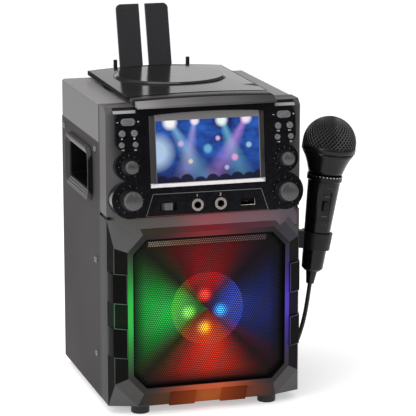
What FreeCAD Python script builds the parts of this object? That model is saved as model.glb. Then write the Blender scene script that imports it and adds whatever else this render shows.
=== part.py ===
import FreeCAD, Part
import math
import os

os.makedirs("parts", exist_ok=True)
V = FreeCAD.Vector

# Millimetres. X to the right, Y to the back, Z up from the table. The origin is on the table,
# under the middle of the cabinet.

# Cabinet
BOARD = 9.0
WALL = 3.0
TOP_BAND = 35.0
COVER_EDGE_RADIUS = 2.5
SEAM_GROOVE = 1.8

# Feet
FOOT_HEIGHT = 8.0
FOOT_RADIUS = 8.5
FOOT_INSET_SIDE = 30.0
FOOT_INSET_FRONT = 1.0
FOOT_INSET_BACK = 17.0

# General clearances
OVERRUN = 5.0
SLIP = 0.2
RUNNING_FIT = 0.05
SEAT_GAP = 0.1
ALONG_SHARE = 0.9
FLAT_SHARE = 0.01

# Head: the upper front moulding, its cheeks and its hood
BEZEL_DEPTH = 25.0
HEAD_TOP_MARGIN = 1.33
HEAD_NOSE = 14.5
CHEEK_WIDTH = 23.0
FASCIA_TILT = 6.5
SEAM_GAP = 3.0
TONGUE_INSET = 1.0
HEAD_CHAMFER = 5.0
CHAMFER_INSET_SHARE = 2 - math.sqrt(2)
HOOD_SIDE = 26.0
HOOD_HEIGHT = 5.5
HOOD_CROWN = 1.5
HOOD_LIP = 1.0
HOOD_OVERHANG = 10.2
HOOD_LID_GAP = 1.5

# Gloss fascia, measured up its own slope from the seam
FASCIA_THICK = 3.0
FASCIA_SIDE = 26.0
FASCIA_LOW = 2.0
FASCIA_TOP_MARGIN = 3.9
BAY_SIDE = 7.0
BAY_KNOB_GAP = 14.0
BAY_TOP_MARGIN = 4.5
BAY_RADIUS = 7.0
WINDOW_MARGIN = 2.3
WINDOW_LOW = 3.5

# Screen
SCREEN_WIDTH = 95.0
SCREEN_HEIGHT = 55.0
PORT_STRIP = 27.7
FRAME_SIDE = 5.7
FRAME_TOP = 5.3
FRAME_BOTTOM = 4.1
FRAME_CROWN = 2.0
FRAME_EDGE = 0.8
FRAME_RIM = 0.8
FRAME_PROUD = 2.8
FRAME_LIP = 1.2
FRAME_FLANGE = 1.5
FRAME_FLANGE_THICK = 2.0
LCD_MARGIN = 1.5
LCD_THICK = 4.0

# Knobs and their potentiometers
KNOB_SIDE = 18.25
KNOB_DROP = 19.2
KNOB_PITCH = 29.5
SMALL_LOBE_RADIUS = 12.9
LARGE_LOBE_RADIUS = 16.9
SMALL_CAP_RADIUS = 5.9
LARGE_CAP_RADIUS = 8.4
KNOB_SKIRT_FLARE = 2.2
KNOB_SKIRT_HEIGHT = 5.0
KNOB_HEIGHT = 13.0
KNOB_LIFT = 0.6
KNOB_DOME = 1.6
SHAFT_RADIUS = 3.0
SHAFT_HOLE_GAP = 0.5
POT_RADIUS = 7.0
POT_HEIGHT = 6.4
POT_FLOOR = 1.4

# Buttons and rockers
UPPER_BUTTON_RADIUS = 3.0
LOWER_BUTTON_RADIUS = 2.6
UPPER_BUTTON_PITCH = 11.0
LOWER_BUTTON_PITCH = 12.5
BUTTON_PROUD = 1.6
BUTTON_ROW_PITCH = 10.0
BUTTON_FLANGE = 1.0
BUTTON_FLANGE_THICK = 1.2
BUTTON_STEM_RADIUS = 1.5
BUTTON_TRAVEL = 0.8
FLANGE_ROOM = 0.4
ROCKER_DROP = 10.8
ROCKER_LENGTH = 13.0
ROCKER_RADIUS = 3.2
ROCKER_ROOM = 0.5
ROCKER_STEM_SHARE = 0.3
TACT_SIZE = 6.0

# Control boards behind the fascia
CONTROL_SETBACK = 16.4
PCB = 1.6
CONTROL_GAP = 6.0
CONTROL_BOARD_GAP = 1.9
CONTROL_REACH = 13.5
CONTROL_LOW = 6.0
CONTROL_TOP_MARGIN = 5.0
CONTROL_BOSS_RADIUS = 2.5
CONTROL_BOSS_INSET = 5.0

# Microphone jacks, media port and function switch
PORT_RISE = 10.8
JACK_OFFSET = 10.7
JACK_BORE = 3.2
JACK_BARREL = 4.4
JACK_NUT = 5.4
JACK_NUT_THICK = 1.2
JACK_BODY = 13.0
JACK_DEPTH = 24.0
MEDIA_OFFSET = 36.0
MEDIA_WIDTH = 13.2
MEDIA_HEIGHT = 5.8
MEDIA_SHELL = 0.4
MEDIA_DEPTH = 14.0
MEDIA_TONGUE = 1.8
FUNCTION_OFFSET = 37.5
FUNCTION_SLOT_HEIGHT = 6.5
FUNCTION_TRAVEL = 4.0
FUNCTION_NUB_WIDTH = 7.0
FUNCTION_NUB_PROUD = 2.4
FUNCTION_BASE_MARGIN = 1.5
FUNCTION_BASE_THICK = 1.0
FUNCTION_BODY_WIDTH = 26.0
FUNCTION_BODY_HEIGHT = 11.0
FUNCTION_BODY_DEPTH = 6.5
FUNCTION_BOSS_RADIUS = 1.5
FUNCTION_BOSS_INSET = 2.0

# Lower front bezel: an eight-sided ring round the grille
EDGE_STEP = 9.8
EDGE_INSET = 4.2
EDGE_DROP = 1.8
EDGE_LIFT = 0.5
EDGE_CUT = 20.8
RIDGE_STEP = 7.0
RIDGE_INSET = 10.6
RIDGE_DROP = 10.0
RIDGE_LIFT = 13.2
RIDGE_CUT = 14.4
LAND_STEP = 1.9
LAND_INSET = 4.4
LAND_DROP = 4.0
LAND_LIFT = 5.3
LAND_CUT = 12.2
CUT_SLOPE_SHARE = 1.06
PAD_LIFT = 1.8
PAD_LENGTH = 27.0
SIDE_PAD_RISES = (48.0, 98.0)
BOTTOM_PAD_OFFSET = 12.0
BOTTOM_PAD_LENGTH = 24.0
GRILLE_SETBACK = 6.5
GRILLE_THICK = 0.8
GRILLE_LEDGE = 3.0

# Loudspeaker and light cluster
SPEAKER_RADIUS = 60.0
RING_MARGIN = 8.5
SPEAKER_SEAT = 8.0
SPEAKER_FLANGE = 4.0
BASKET_GAP = 2.0
BASKET_DEPTH = 40.0
BASKET_WALL = 2.0
MAGNET_RADIUS = 32.0
MAGNET_DEPTH = 16.0
MAGNET_THROAT_SHARE = 0.75
CONE_SEAT = 6.0
CONE_DEPTH = 22.0
CONE_WALL = 1.0
SURROUND_RADIUS = 4.0
DUST_CAP_RADIUS = 16.0
DUST_CAP_STEP_SHARE = 0.6
LIGHT_SETBACK = 16.0
LIGHT_DISC_RADIUS = 33.0
LIGHT_DISC_THICK = 1.5
LIGHT_BAR_WIDTH = 8.0
LIGHT_BAR_THICK = 3.0
BULB_CIRCLE = 15.0
BULB_DROP = 5.5
BULB_RADIUS = 3.2
BULB_LENGTH = 3.0

# Carrying handles in the side panels
HANDLE_BACK_MARGIN = 26.3
HANDLE_DROP = 69.6
HANDLE_WIDTH = 97.0
HANDLE_HEIGHT = 51.0
HANDLE_CORNER_RADIUS = 12.5
HANDLE_CORNER_FLATS = 4
HANDLE_PROUD = 4.5
HANDLE_DRAFT = 1.5
HANDLE_RIM = 1.5
HANDLE_FUNNEL = 8.0
HANDLE_DEPTH = 32.0
HANDLE_WALL = 2.0

# Side panel screws
SCREW_HEAD_RADIUS = 3.4
SCREW_HEAD_THICK = 1.2
SCREW_CROWN_SHARE = 0.7
SCREW_SHANK_RADIUS = 1.6
SCREW_SHANK_LENGTH = 7.0
SCREW_INSET_BACK = 10.0
SCREW_INSET_FRONT = 15.0
SCREW_INSET_TOP = 8.0
SCREW_MIDDLE_RISE = 127.0
SCREW_RIGHT_RISE = 100.0
SCREW_LOW_RISE = 39.0

# Disc well, lid and hinge
WELL_FRONT_MARGIN = 13.8
WELL_BACK_MARGIN = 10.8
WELL_RADIUS = 61.7
WELL_DEPTH = 12.0
WELL_WALL = 1.6
WELL_RIM = 2.0
WELL_RIM_THICK = 1.0
LID_MARGIN = 4.3
LID_OVERHANG = 4.5
LID_GAP = 3.0
LID_FRONT_EDGE = 2.5
LID_FRONT_CROWN = 1.8
LID_BACK_EDGE = 4.0
LID_BACK_CROWN = 3.0
LID_CORNER_RADIUS = 4.0
DOME_MARGIN = 16.0
DOME_SLOPE = 5.0
DOME_PROUD = 0.8
DOME_SETBACK = 12.0
BUMPER_INSET = 8.0
BUMPER_RADIUS = 3.0
NOTCH_WIDTH = 5.0
NOTCH_LENGTH = 25.0
NOTCH_DEPTH = 1.8
NOTCH_SETBACK = 7.5
HINGE_INSET = 3.0
HINGE_RISE = 3.4
KNUCKLE_RADIUS = 2.6
KNUCKLE_LENGTH = 12.0
KNUCKLE_GAP = 0.4
KNUCKLE_OFFSET = 34.0
PIN_RADIUS = 1.2

# Tablet rest behind the lid
REST_SETBACK = 25.0
REST_DROP = 2.0
REST_KNUCKLE_RADIUS = 3.0
REST_LEAN = 15.0
REST_LENGTH = 70.0
REST_THICK = 2.5
FIN_WIDTH = 23.0
FIN_GAP = 6.0
FIN_CORNER_RADIUS = 5.0
REST_BARREL_HALF = 32.0
REST_ARM_WIDTH = 7.0
REST_ROOT = 4.0
REST_SLOT_START = 7.0
PEG_SETBACK = 5.5
PEG_RADIUS = 1.9
PEG_HEIGHT = 16.5

# Disc drive under the well
FLOOR_HOLE_RADIUS = 6.0
LENS_SLOT_HALF = 9.0
LENS_SLOT_INNER = 17.0
LENS_SLOT_MARGIN = 3.7
CHASSIS_DROP = 16.0
CHASSIS_THICK = 2.0
CHASSIS_HALF = 46.0
CHASSIS_BACK = 22.0
POST_RADIUS = 3.0
POST_OFFSET = 38.0
POST_FRONT = 40.0
POST_BACK = 14.0
MOTOR_RADIUS = 12.0
MOTOR_HEIGHT = 12.0
SPINDLE_RADIUS = 1.0
SPINDLE_DEPTH = 8.0
TURNTABLE_RADIUS = 15.0
TURNTABLE_THICK = 2.0
TURNTABLE_LIFT = 1.5
HUB_RADIUS = 7.3
HUB_HEIGHT = 4.0
HUB_BEVEL = 1.0
RAIL_OFFSET = 18.0
RAIL_WIDTH = 4.0
RAIL_HEIGHT = 6.0
RAIL_END = 7.0
SLED_START = 27.0
SLED_LENGTH = 24.0
SLED_THICK = 5.0
SLED_SKIRT = 1.8
SLED_TRAVEL = 32.0
LENS_RADIUS = 3.5
LENS_HEIGHT = 2.0

# Main board inside the cabinet floor
MAIN_BOARD_WIDTH = 120.0
MAIN_BOARD_DEPTH = 80.0
SPACER_HEIGHT = 8.0
SPACER_RADIUS = 3.5
SPACER_INSET = 8.0
MODULE_HEIGHT = 14.0
MODULE_WIDTH_SHARES = (0.22, 0.3, 0.16)
MODULE_PLACE_SHARES = (0.08, 0.36, 0.74)
MODULE_DEPTH_SHARE = 0.55

# Sockets and power rocker in the back panel
SOCKET_RISE = 46.0
SOCKET_PITCH = 18.0
SOCKET_BARREL = 4.15
SOCKET_NECK = 3.5
SOCKET_PROUD = 8.0
SOCKET_BORE = 1.7
SOCKET_BODY = 12.0
SOCKET_BODY_DEPTH = 10.0
INLET_BARREL = 5.4
INLET_BORE = 2.9
INLET_PIN = 1.0
INLET_DEPTH = 9.0
ROCKER_SWITCH_OFFSET = 46.0
ROCKER_SWITCH_RADIUS = 9.0
ROCKER_SWITCH_WIDTH = 12.4
ROCKER_SWITCH_SINK = 5.5
ROCKER_SWITCH_SPAN = 56.0
ROCKER_SWITCH_ROOM = 0.4
TRUNNION_RADIUS = 1.2
TRUNNION_LENGTH = 3.0

# Microphone, measured along its own axis from the middle of its clip
MIC_STANDOFF = 26.7
MIC_SETBACK = 29.5
MIC_RISE = 141.6
MIC_LEAN = 7.6
MIC_CLIP_RADIUS = 11.7
MIC_TAPER_SHARE = 0.06
MIC_TAIL = 29.0
MIC_TAIL_ROUND = 2.5
MIC_NECK = 62.0
MIC_COLLAR_HEIGHT = 6.0
MIC_COLLAR_PROUD = 1.0
MIC_BORE = 8.0
MIC_BORE_DEPTH = 40.0
MIC_HEAD_RADIUS = 24.4
MIC_BAND_START = 84.0
MIC_BAND_HEIGHT = 5.0
MIC_BAND_PROUD = 0.5
MIC_DOME_RISE = 27.0
MIC_MESH_WALL = 1.5
CAPSULE_RADIUS = 12.0
CAPSULE_START = 68.0
CAPSULE_HEIGHT = 18.0
CAPSULE_STEM = 12.0
RELIEF_LENGTH = 12.5
RELIEF_RADIUS = 5.4
RELIEF_TIP_RADIUS = 3.6
MIC_SWITCH_PLACE = 34.0
MIC_SWITCH_FLAT = 1.6
MIC_SWITCH_LENGTH = 26.0
MIC_SWITCH_WIDTH = 9.0
MIC_SLIDER_LENGTH = 9.0
MIC_SLIDER_WIDTH = 5.0
MIC_SLIDER_HEIGHT = 3.2

# Microphone clip on the right side
CLIP_HEIGHT = 16.0
CLIP_WALL = 2.2
CLIP_GAP = 0.3
CLIP_MOUTH = 80.0
CLIP_MOUTH_TURN = 45.0
CLIP_PLATE_THICK = 3.0
CLIP_PLATE_WIDTH = 22.0
CLIP_PLATE_LOW = 20.0
CLIP_PLATE_HIGH = 22.0
CLIP_ARM_WIDTH = 10.0
CLIP_CORNER_RADIUS = 4.0

# Microphone cord: a free stretch down the right side and a wound coil behind the cabinet
CORD_RADIUS = 2.0
CORD_EXIT = 14.0
CORD_ARC_SHARE = 0.45
CORD_POINTS = (
    (107.6, -53.5, 68.0),
    (106.0, -45.0, 49.0),
    (105.0, -31.0, 31.5),
    (104.2, -12.0, 18.0),
    (103.8, 12.0, 8.6),
    (104.4, 38.0, 3.6),
    (105.4, 66.0, 2.2),
    (104.0, 94.0, 2.2),
    (97.5, 120.0, 2.2),
    (84.0, 142.0, 2.2),
    (62.0, 157.0, 2.4),
    (40.0, 164.5, 2.8),
)
CORD_APPROACH = 18.0
COIL_SETBACK = 44.9
COIL_TURNS = 5.0
COIL_PITCH = 4.6
COIL_INNER_RADIUS = 11.9
COIL_LAYER = 4.5
TIE_WIDTH = 6.0
TIE_WALL = 0.8
TIE_GAP = 0.4
PLUG_LEAD = 17.0
PLUG_BODY_RADIUS = 7.4
PLUG_BODY_LENGTH = 26.0
PLUG_BOOT_LENGTH = 9.0
PLUG_SHAFT_RADIUS = 3.15
PLUG_SHAFT_LENGTH = 31.0
PLUG_TIP_LENGTH = 4.0
PLUG_NECK_RADIUS = 2.2
PLUG_NECK_SHARE = 0.75
PLUG_BOOT_TIP_RADIUS = 3.0
PLUG_BOOT_RADIUS = 4.0

# Levels and planes that the sizes above give
tilt = math.radians(FASCIA_TILT)
frame_width = SCREEN_WIDTH + 2 * FRAME_SIDE
window_half = frame_width / 2 + WINDOW_MARGIN
button_reach = max(
    UPPER_BUTTON_PITCH / 2 + UPPER_BUTTON_RADIUS, LOWER_BUTTON_PITCH / 2 + LOWER_BUTTON_RADIUS
)
knob_offset = window_half + CONTROL_GAP + button_reach + BUTTON_FLANGE + FLANGE_ROOM
half_width = knob_offset + KNOB_SIDE
cabinet_depth = WELL_FRONT_MARGIN + 2 * WELL_RADIUS + WELL_BACK_MARGIN
back_y = (cabinet_depth + BEZEL_DEPTH) / 2
carcass_y = back_y - cabinet_depth
corner_y = carcass_y - BEZEL_DEPTH
nose_y = corner_y - HEAD_NOSE
screen_low = PORT_STRIP + FRAME_BOTTOM
screen_high = screen_low + SCREEN_HEIGHT
frame_high = screen_high + FRAME_TOP
fascia_high = frame_high + FRAME_CROWN + FASCIA_TOP_MARGIN
rocker_rise = fascia_high - ROCKER_DROP
small_knob_rise = rocker_rise - 2 * BUTTON_ROW_PITCH - KNOB_DROP
large_knob_rise = small_knob_rise - KNOB_PITCH
fascia_half = half_width - FASCIA_SIDE
hood_half = half_width - HOOD_SIDE
bay_half = half_width - BAY_SIDE
bay_low = small_knob_rise + BAY_KNOB_GAP
bay_high = fascia_high - BAY_TOP_MARGIN
control_inner = window_half + CONTROL_BOARD_GAP
control_outer = knob_offset + CONTROL_REACH
control_high = fascia_high - CONTROL_TOP_MARGIN
head_height = fascia_high * math.cos(tilt) + HEAD_TOP_MARGIN
speaker_hole_radius = SPEAKER_RADIUS - SPEAKER_SEAT
basket_radius = speaker_hole_radius - BASKET_GAP
cone_radius = SPEAKER_RADIUS - CONE_SEAT - 2 * SURROUND_RADIUS
ring_foot = EDGE_LIFT + RIDGE_LIFT + LAND_LIFT
ring_head = LAND_DROP + RIDGE_DROP + EDGE_DROP + SEAM_GAP / 2
base_z = FOOT_HEIGHT
seam_z = base_z + ring_foot + 2 * (SPEAKER_RADIUS + RING_MARGIN) + ring_head
deck_z = seam_z + head_height
band_z = deck_z - TOP_BAND
head_low_z = seam_z + SEAM_GAP / 2
bezel_high_z = seam_z - SEAM_GAP / 2
inner_half = half_width - BOARD
floor_z = base_z + BOARD
well_centre = back_y - WELL_BACK_MARGIN - WELL_RADIUS
lid_half = WELL_RADIUS + LID_MARGIN
lid_front = LID_OVERHANG - carcass_y
dome_radius = lid_half - DOME_MARGIN
dome_centre = well_centre + DOME_SETBACK
handle_centre = back_y - HANDLE_BACK_MARGIN - HANDLE_WIDTH / 2
chassis_front = SLED_START + SLED_TRAVEL + RAIL_END
lens_slot_outer = WELL_RADIUS - LENS_SLOT_MARGIN
coil_y = back_y + COIL_SETBACK
far = 2 * half_width + cabinet_depth + deck_z

X_AXIS = V(1, 0, 0)
Y_AXIS = V(0, 1, 0)
Z_AXIS = V(0, 0, 1)
fascia_place = FreeCAD.Placement(V(0, nose_y, seam_z), FreeCAD.Rotation(X_AXIS, 90 - FASCIA_TILT))


# Shape helpers
def box(x_span, y_span, z_span):
    low = V(min(x_span), min(y_span), min(z_span))
    return Part.makeBox(
        max(x_span) - low.x, max(y_span) - low.y, max(z_span) - low.z, low
    )


def rod(radius, start, end):
    run = end - start
    return Part.makeCylinder(radius, run.Length, start, run)


def polygon(points):
    return Part.Face(Part.makePolygon(list(points) + [points[0]]))


def prism(points, run):
    return polygon(points).extrude(run)


def turned(profile):
    """A solid of revolution about Z from (radius, height) points."""
    return polygon([V(r, 0, z) for r, z in profile]).revolve(V(0, 0, 0), Z_AXIS, 360)


def stacked(rings):
    """A solid with flat faces between polygons of equal point counts, closed at both ends."""
    faces = [polygon(rings[0]), polygon(rings[-1])]
    for low, high in zip(rings, rings[1:]):
        for i in range(len(low)):
            j = (i + 1) % len(low)
            corners = [low[i], low[j], high[j], high[i]]
            kept = [p for k, p in enumerate(corners) if (p - corners[k - 1]).Length > RUNNING_FIT]
            faces.append(polygon(kept))
    return Part.makeSolid(Part.makeShell(faces)).removeSplitter()


def rounded_rectangle(x_span, y_span, radius):
    """A flat face with round corners in the XY plane."""
    outline = box(x_span, y_span, (0, radius))
    upright = [e for e in outline.Edges if abs(e.tangentAt(e.FirstParameter).z) > ALONG_SHARE]
    rounded = outline.makeFillet(radius, upright)
    return [f for f in rounded.Faces if f.CenterOfMass.z < radius * FLAT_SHARE][0]


def fused(first, *others):
    return first.fuse(list(others)).removeSplitter()


def mirrored(shape):
    return shape.mirror(V(0, 0, 0), X_AXIS)


def on_fascia(shape):
    """Put a shape drawn as (across, up the slope, out of the face) onto the fascia's plane."""
    placed = shape.copy()
    placed.Placement = fascia_place.multiply(placed.Placement)
    return placed


def fascia_post(radius, across, rise, low, high):
    return Part.makeCylinder(radius, high - low, V(across, rise, low))


def inset(points, distance):
    wire = Part.makePolygon(list(points) + [points[0]])
    return Part.Face(wire.makeOffset2D(-distance))


def save(node, *solids):
    shape = solids[0] if len(solids) == 1 else Part.makeCompound(list(solids))
    shape.exportStep("parts/" + node + ".step")


# Head moulding
def head_outline(z, back_extra):
    right = [
        V(half_width, carcass_y + back_extra, z),
        V(half_width, corner_y, z),
        V(half_width - CHEEK_WIDTH, nose_y, z),
    ]
    left = [V(-p.x, p.y, z) for p in reversed(right)]
    return right + left


def before_fascia(depth):
    """Everything in front of a plane that lies this deep behind the fascia's seat."""
    return on_fascia(box((-far, far), (-far, far), (-depth, far)))


def bevelled_front(block, top, size):
    front = [
        e for e in block.Edges
        if abs(e.CenterOfMass.z - top) < SLIP and e.CenterOfMass.y < corner_y + WALL
    ]
    return block.makeChamfer(size, front)


def head_block():
    block = polygon(head_outline(head_low_z, 0)).extrude(V(0, 0, deck_z - head_low_z))
    return bevelled_front(block.cut(before_fascia(0)), deck_z, HEAD_CHAMFER)


def hood():
    crown_radius = (hood_half ** 2 + HOOD_CROWN ** 2) / (2 * HOOD_CROWN)
    front_y = nose_y + head_height * math.tan(tilt)
    back = -lid_front - HOOD_LID_GAP
    top = deck_z + HOOD_HEIGHT + HOOD_CROWN
    lip = deck_z + HOOD_LIP + HOOD_CROWN
    profile = polygon([
        V(0, back, deck_z - HOOD_CROWN),
        V(0, back, top),
        V(0, front_y, top),
        V(0, front_y - HOOD_OVERHANG, lip),
        V(0, front_y - HOOD_OVERHANG, deck_z - HOOD_CROWN),
    ])
    centre = V(0, 0, top - crown_radius)
    half_turn = math.degrees(math.asin(hood_half / crown_radius))
    profile.rotate(centre, Y_AXIS, -half_turn)
    bar = profile.revolve(centre, Y_AXIS, 2 * half_turn)
    return bar.common(box((-far, far), (-far, far), (deck_z, far)))


def button_places():
    """Name, (across, rise) and radius of each round button."""
    rows = (
        ("upper", 1, UPPER_BUTTON_PITCH, UPPER_BUTTON_RADIUS),
        ("lower", 2, LOWER_BUTTON_PITCH, LOWER_BUTTON_RADIUS),
    )
    places = []
    for side, sign in (("left", -1), ("right", 1)):
        for row, level, pitch, radius in rows:
            for column, way in (("inner", -1), ("outer", 1)):
                across = sign * (knob_offset + way * pitch / 2)
                rise = rocker_rise - level * BUTTON_ROW_PITCH
                places.append(("button_" + side + "_" + row + "_" + column, across, rise, radius))
    return places


def rocker_places():
    return [("rocker_left", -knob_offset, rocker_rise), ("rocker_right", knob_offset, rocker_rise)]


def knob_places():
    """Name, (across, rise), cap radius and lobe radius of each knob."""
    places = []
    for side, sign in (("left", -1), ("right", 1)):
        across = sign * knob_offset
        places.append(("small_knob_" + side, across, small_knob_rise, SMALL_CAP_RADIUS, SMALL_LOBE_RADIUS))
        places.append(("large_knob_" + side, across, large_knob_rise, LARGE_CAP_RADIUS, LARGE_LOBE_RADIUS))
    return places


def stadium(across, rise, length, height, low, high):
    """An upright bar with round ends, on the fascia."""
    radius = height / 2
    reach = length / 2 - radius
    middle = box((across - reach, across + reach), (rise - radius, rise + radius), (low, high))
    ends = [fascia_post(radius, across + way * reach, rise, low, high) for way in (-1, 1)]
    return fused(middle, *ends)


def control_bores(radius_gap):
    """Room for every shaft, stem and flange that passes through the head behind the fascia."""
    deep = CONTROL_SETBACK + OVERRUN
    bores = []
    for name, across, rise, cap, lobe in knob_places():
        bores.append(fascia_post(SHAFT_RADIUS + SHAFT_HOLE_GAP + radius_gap, across, rise, -deep, 0))
    for name, across, rise, radius in button_places():
        bores.append(fascia_post(radius + BUTTON_FLANGE + FLANGE_ROOM, across, rise, -deep, 0))
    for name, across, rise in rocker_places():
        margin = 2 * (BUTTON_FLANGE + ROCKER_ROOM)
        size = (ROCKER_LENGTH + margin, 2 * ROCKER_RADIUS + margin)
        bores.append(stadium(across, rise, size[0], size[1], -deep, 0))
    return [on_fascia(b) for b in bores]


def build_head():
    block = head_block()
    hollow = inset(head_outline(head_low_z - OVERRUN, 2 * WALL), WALL)
    hollow = hollow.extrude(V(0, 0, deck_z - WALL - head_low_z + OVERRUN))
    hollow = hollow.cut(before_fascia(WALL))
    hollow = bevelled_front(hollow, deck_z - WALL, HEAD_CHAMFER - WALL * CHAMFER_INSET_SHARE)
    shell = block.cut(hollow)
    window_high = frame_high + FRAME_CROWN + WINDOW_MARGIN
    window = box((-window_half, window_half), (WINDOW_LOW, window_high), (-WALL * 2, WALL))
    shell = shell.cut([on_fascia(window)] + control_bores(0))
    bosses = []
    for sign in (-1, 1):
        for rise in (CONTROL_LOW + CONTROL_BOSS_INSET, control_high - CONTROL_BOSS_INSET):
            across = sign * (control_inner + CONTROL_BOSS_RADIUS)
            bosses.append(on_fascia(fascia_post(CONTROL_BOSS_RADIUS, across, rise, -CONTROL_SETBACK, -WALL / 2)))
    save("head_moulding", fused(shell, hood(), *bosses))


# Gloss fascia with its round lobes
def fascia_block(low, high):
    """The fascia's outline as a solid between two depths on its own slope."""
    run = V(0, 0, high - low)
    middle = box((-fascia_half, fascia_half), (FASCIA_LOW, fascia_high), (low, high))
    bay = rounded_rectangle((-bay_half, bay_half), (bay_low, bay_high), BAY_RADIUS).extrude(run)
    bay.translate(V(0, 0, low))
    lobes = [fascia_post(lobe, across, rise, low, high) for name, across, rise, cap, lobe in knob_places()]
    return fused(middle, bay, *lobes)


def frame_outline(margin, level):
    """The screen frame's outline on the fascia: straight sides and foot under an arched top."""
    half = frame_width / 2 + margin
    high = frame_high + margin
    low = PORT_STRIP - margin
    corners = [V(half, high, level), V(-half, high, level), V(-half, low, level), V(half, low, level)]
    crown = V(0, high + FRAME_CROWN, level)
    edges = [Part.Arc(corners[0], crown, corners[1]).toShape()]
    for start, end in zip(corners[1:], corners[2:] + corners[:1]):
        edges.append(Part.LineSegment(start, end).toShape())
    return Part.Wire(edges)


def function_slot():
    half = FUNCTION_NUB_WIDTH / 2 + FUNCTION_TRAVEL + SLIP
    low = PORT_RISE - FUNCTION_SLOT_HEIGHT / 2
    return box(
        (-FUNCTION_OFFSET - half, -FUNCTION_OFFSET + half),
        (low, low + FUNCTION_SLOT_HEIGHT),
        (-OVERRUN, FASCIA_THICK + OVERRUN),
    )


def build_fascia():
    depth = BEZEL_DEPTH
    middle = box((-fascia_half, fascia_half), (-far, far), (-far, 0))
    drums = on_fascia(fascia_block(-depth, 0).cut(middle)).cut(head_block())
    drums = drums.cut(box((-far, far), (corner_y, far), (-far, far)))
    body = fused(on_fascia(fascia_block(0, FASCIA_THICK)), drums)
    body = body.cut(box((-far, far), (-far, far), (-far, head_low_z)))
    front = FASCIA_THICK + OVERRUN
    cuts = []
    cuts.append(Part.Face(frame_outline(0, -depth)).extrude(V(0, 0, depth + front)))
    for name, across, rise, cap, lobe in knob_places():
        cuts.append(fascia_post(SHAFT_RADIUS + SHAFT_HOLE_GAP, across, rise, -depth, front))
    for name, across, rise, radius in button_places():
        cuts.append(fascia_post(radius + SLIP, across, rise, -depth, front))
    for name, across, rise in rocker_places():
        size = (ROCKER_LENGTH + 2 * ROCKER_ROOM, 2 * (ROCKER_RADIUS + ROCKER_ROOM))
        cuts.append(stadium(across, rise, size[0], size[1], -depth, front))
    for sign in (-1, 1):
        cuts.append(fascia_post(JACK_BARREL + SEAT_GAP, sign * JACK_OFFSET, PORT_RISE, -depth, front))
    half_m = MEDIA_WIDTH / 2 + SLIP
    half_mh = MEDIA_HEIGHT / 2 + SLIP
    cuts.append(box(
        (MEDIA_OFFSET - half_m, MEDIA_OFFSET + half_m),
        (PORT_RISE - half_mh, PORT_RISE + half_mh),
        (-depth, front),
    ))
    cuts.append(function_slot())
    body = body.cut([on_fascia(c) for c in cuts] + control_bores(0))
    bosses = []
    for way in (-1, 1):
        across = -FUNCTION_OFFSET + way * (FUNCTION_BODY_WIDTH / 2 - FUNCTION_BOSS_INSET)
        low = -FUNCTION_BASE_THICK - 2 * SLIP
        bosses.append(on_fascia(fascia_post(FUNCTION_BOSS_RADIUS, across, PORT_RISE, low, FASCIA_THICK / 2)))
    save("fascia", fused(body, *bosses))


# Screen frame and display panel
def build_screen():
    """A sloped frame that rises from the fascia to the display's edge, with the panel in its pocket."""
    def screen_outline(margin, level):
        half = SCREEN_WIDTH / 2 + margin
        high = screen_high + margin
        low = screen_low - margin
        return [V(half, high, level), V(-half, high, level), V(-half, low, level), V(half, low, level)]

    edge = FASCIA_THICK + FRAME_EDGE
    front = FASCIA_THICK + FRAME_PROUD
    face = front - FRAME_LIP
    back = -FRAME_FLANGE_THICK
    body = Part.Face(frame_outline(-SLIP, back)).extrude(V(0, 0, edge - back))
    flange = Part.Face(frame_outline(FRAME_FLANGE, back)).extrude(V(0, 0, -back))
    rim = screen_outline(FRAME_RIM, front)
    slope = Part.makeLoft([frame_outline(-SLIP, edge), Part.makePolygon(rim + rim[:1])], True, True)
    throat = prism(screen_outline(0, back), V(0, 0, front - back + OVERRUN))
    pocket = prism(screen_outline(LCD_MARGIN + SLIP, back - OVERRUN), V(0, 0, face - back + OVERRUN))
    save("screen_frame", on_fascia(fused(body, flange, slope).cut([throat, pocket])))
    lcd = prism(screen_outline(LCD_MARGIN, face - LCD_THICK), V(0, 0, LCD_THICK))
    save("display_panel", on_fascia(lcd))


# Knobs, potentiometers, buttons, rockers and their boards
def build_knobs():
    board_face = -CONTROL_SETBACK
    pot_front = board_face + POT_HEIGHT
    bottom = FASCIA_THICK + KNOB_LIFT
    pots = []
    for name, across, rise, cap, lobe in knob_places():
        skirt_top = bottom + KNOB_SKIRT_HEIGHT
        top = bottom + KNOB_HEIGHT
        dome_low = top - KNOB_DOME
        ball_radius = (cap ** 2 + KNOB_DOME ** 2) / (2 * KNOB_DOME)
        skirt = Part.makeCone(
            cap + KNOB_SKIRT_FLARE, cap + KNOB_SKIRT_FLARE / 2, KNOB_SKIRT_HEIGHT, V(0, 0, bottom)
        )
        grip = Part.makeCylinder(cap, dome_low - skirt_top, V(0, 0, skirt_top))
        ball = Part.makeSphere(ball_radius, V(0, 0, top - ball_radius))
        dome = ball.common(Part.makeCylinder(cap, KNOB_DOME, V(0, 0, dome_low)))
        shaft_low = board_face + POT_FLOOR + SLIP
        shaft = Part.makeCylinder(SHAFT_RADIUS, bottom - shaft_low, V(0, 0, shaft_low))
        knob = fused(skirt, grip, dome, shaft)
        knob.translate(V(across, rise, 0))
        save(name, on_fascia(knob))
        pot = Part.makeCylinder(POT_RADIUS, POT_HEIGHT, V(across, rise, board_face))
        bore = fascia_post(SHAFT_RADIUS + RUNNING_FIT, across, rise, board_face + POT_FLOOR, pot_front + OVERRUN)
        pots.append(on_fascia(pot.cut(bore)))
    save("potentiometers", *pots)


def stem_end():
    return -CONTROL_SETBACK + TACT_SIZE + BUTTON_TRAVEL + SEAT_GAP


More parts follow.
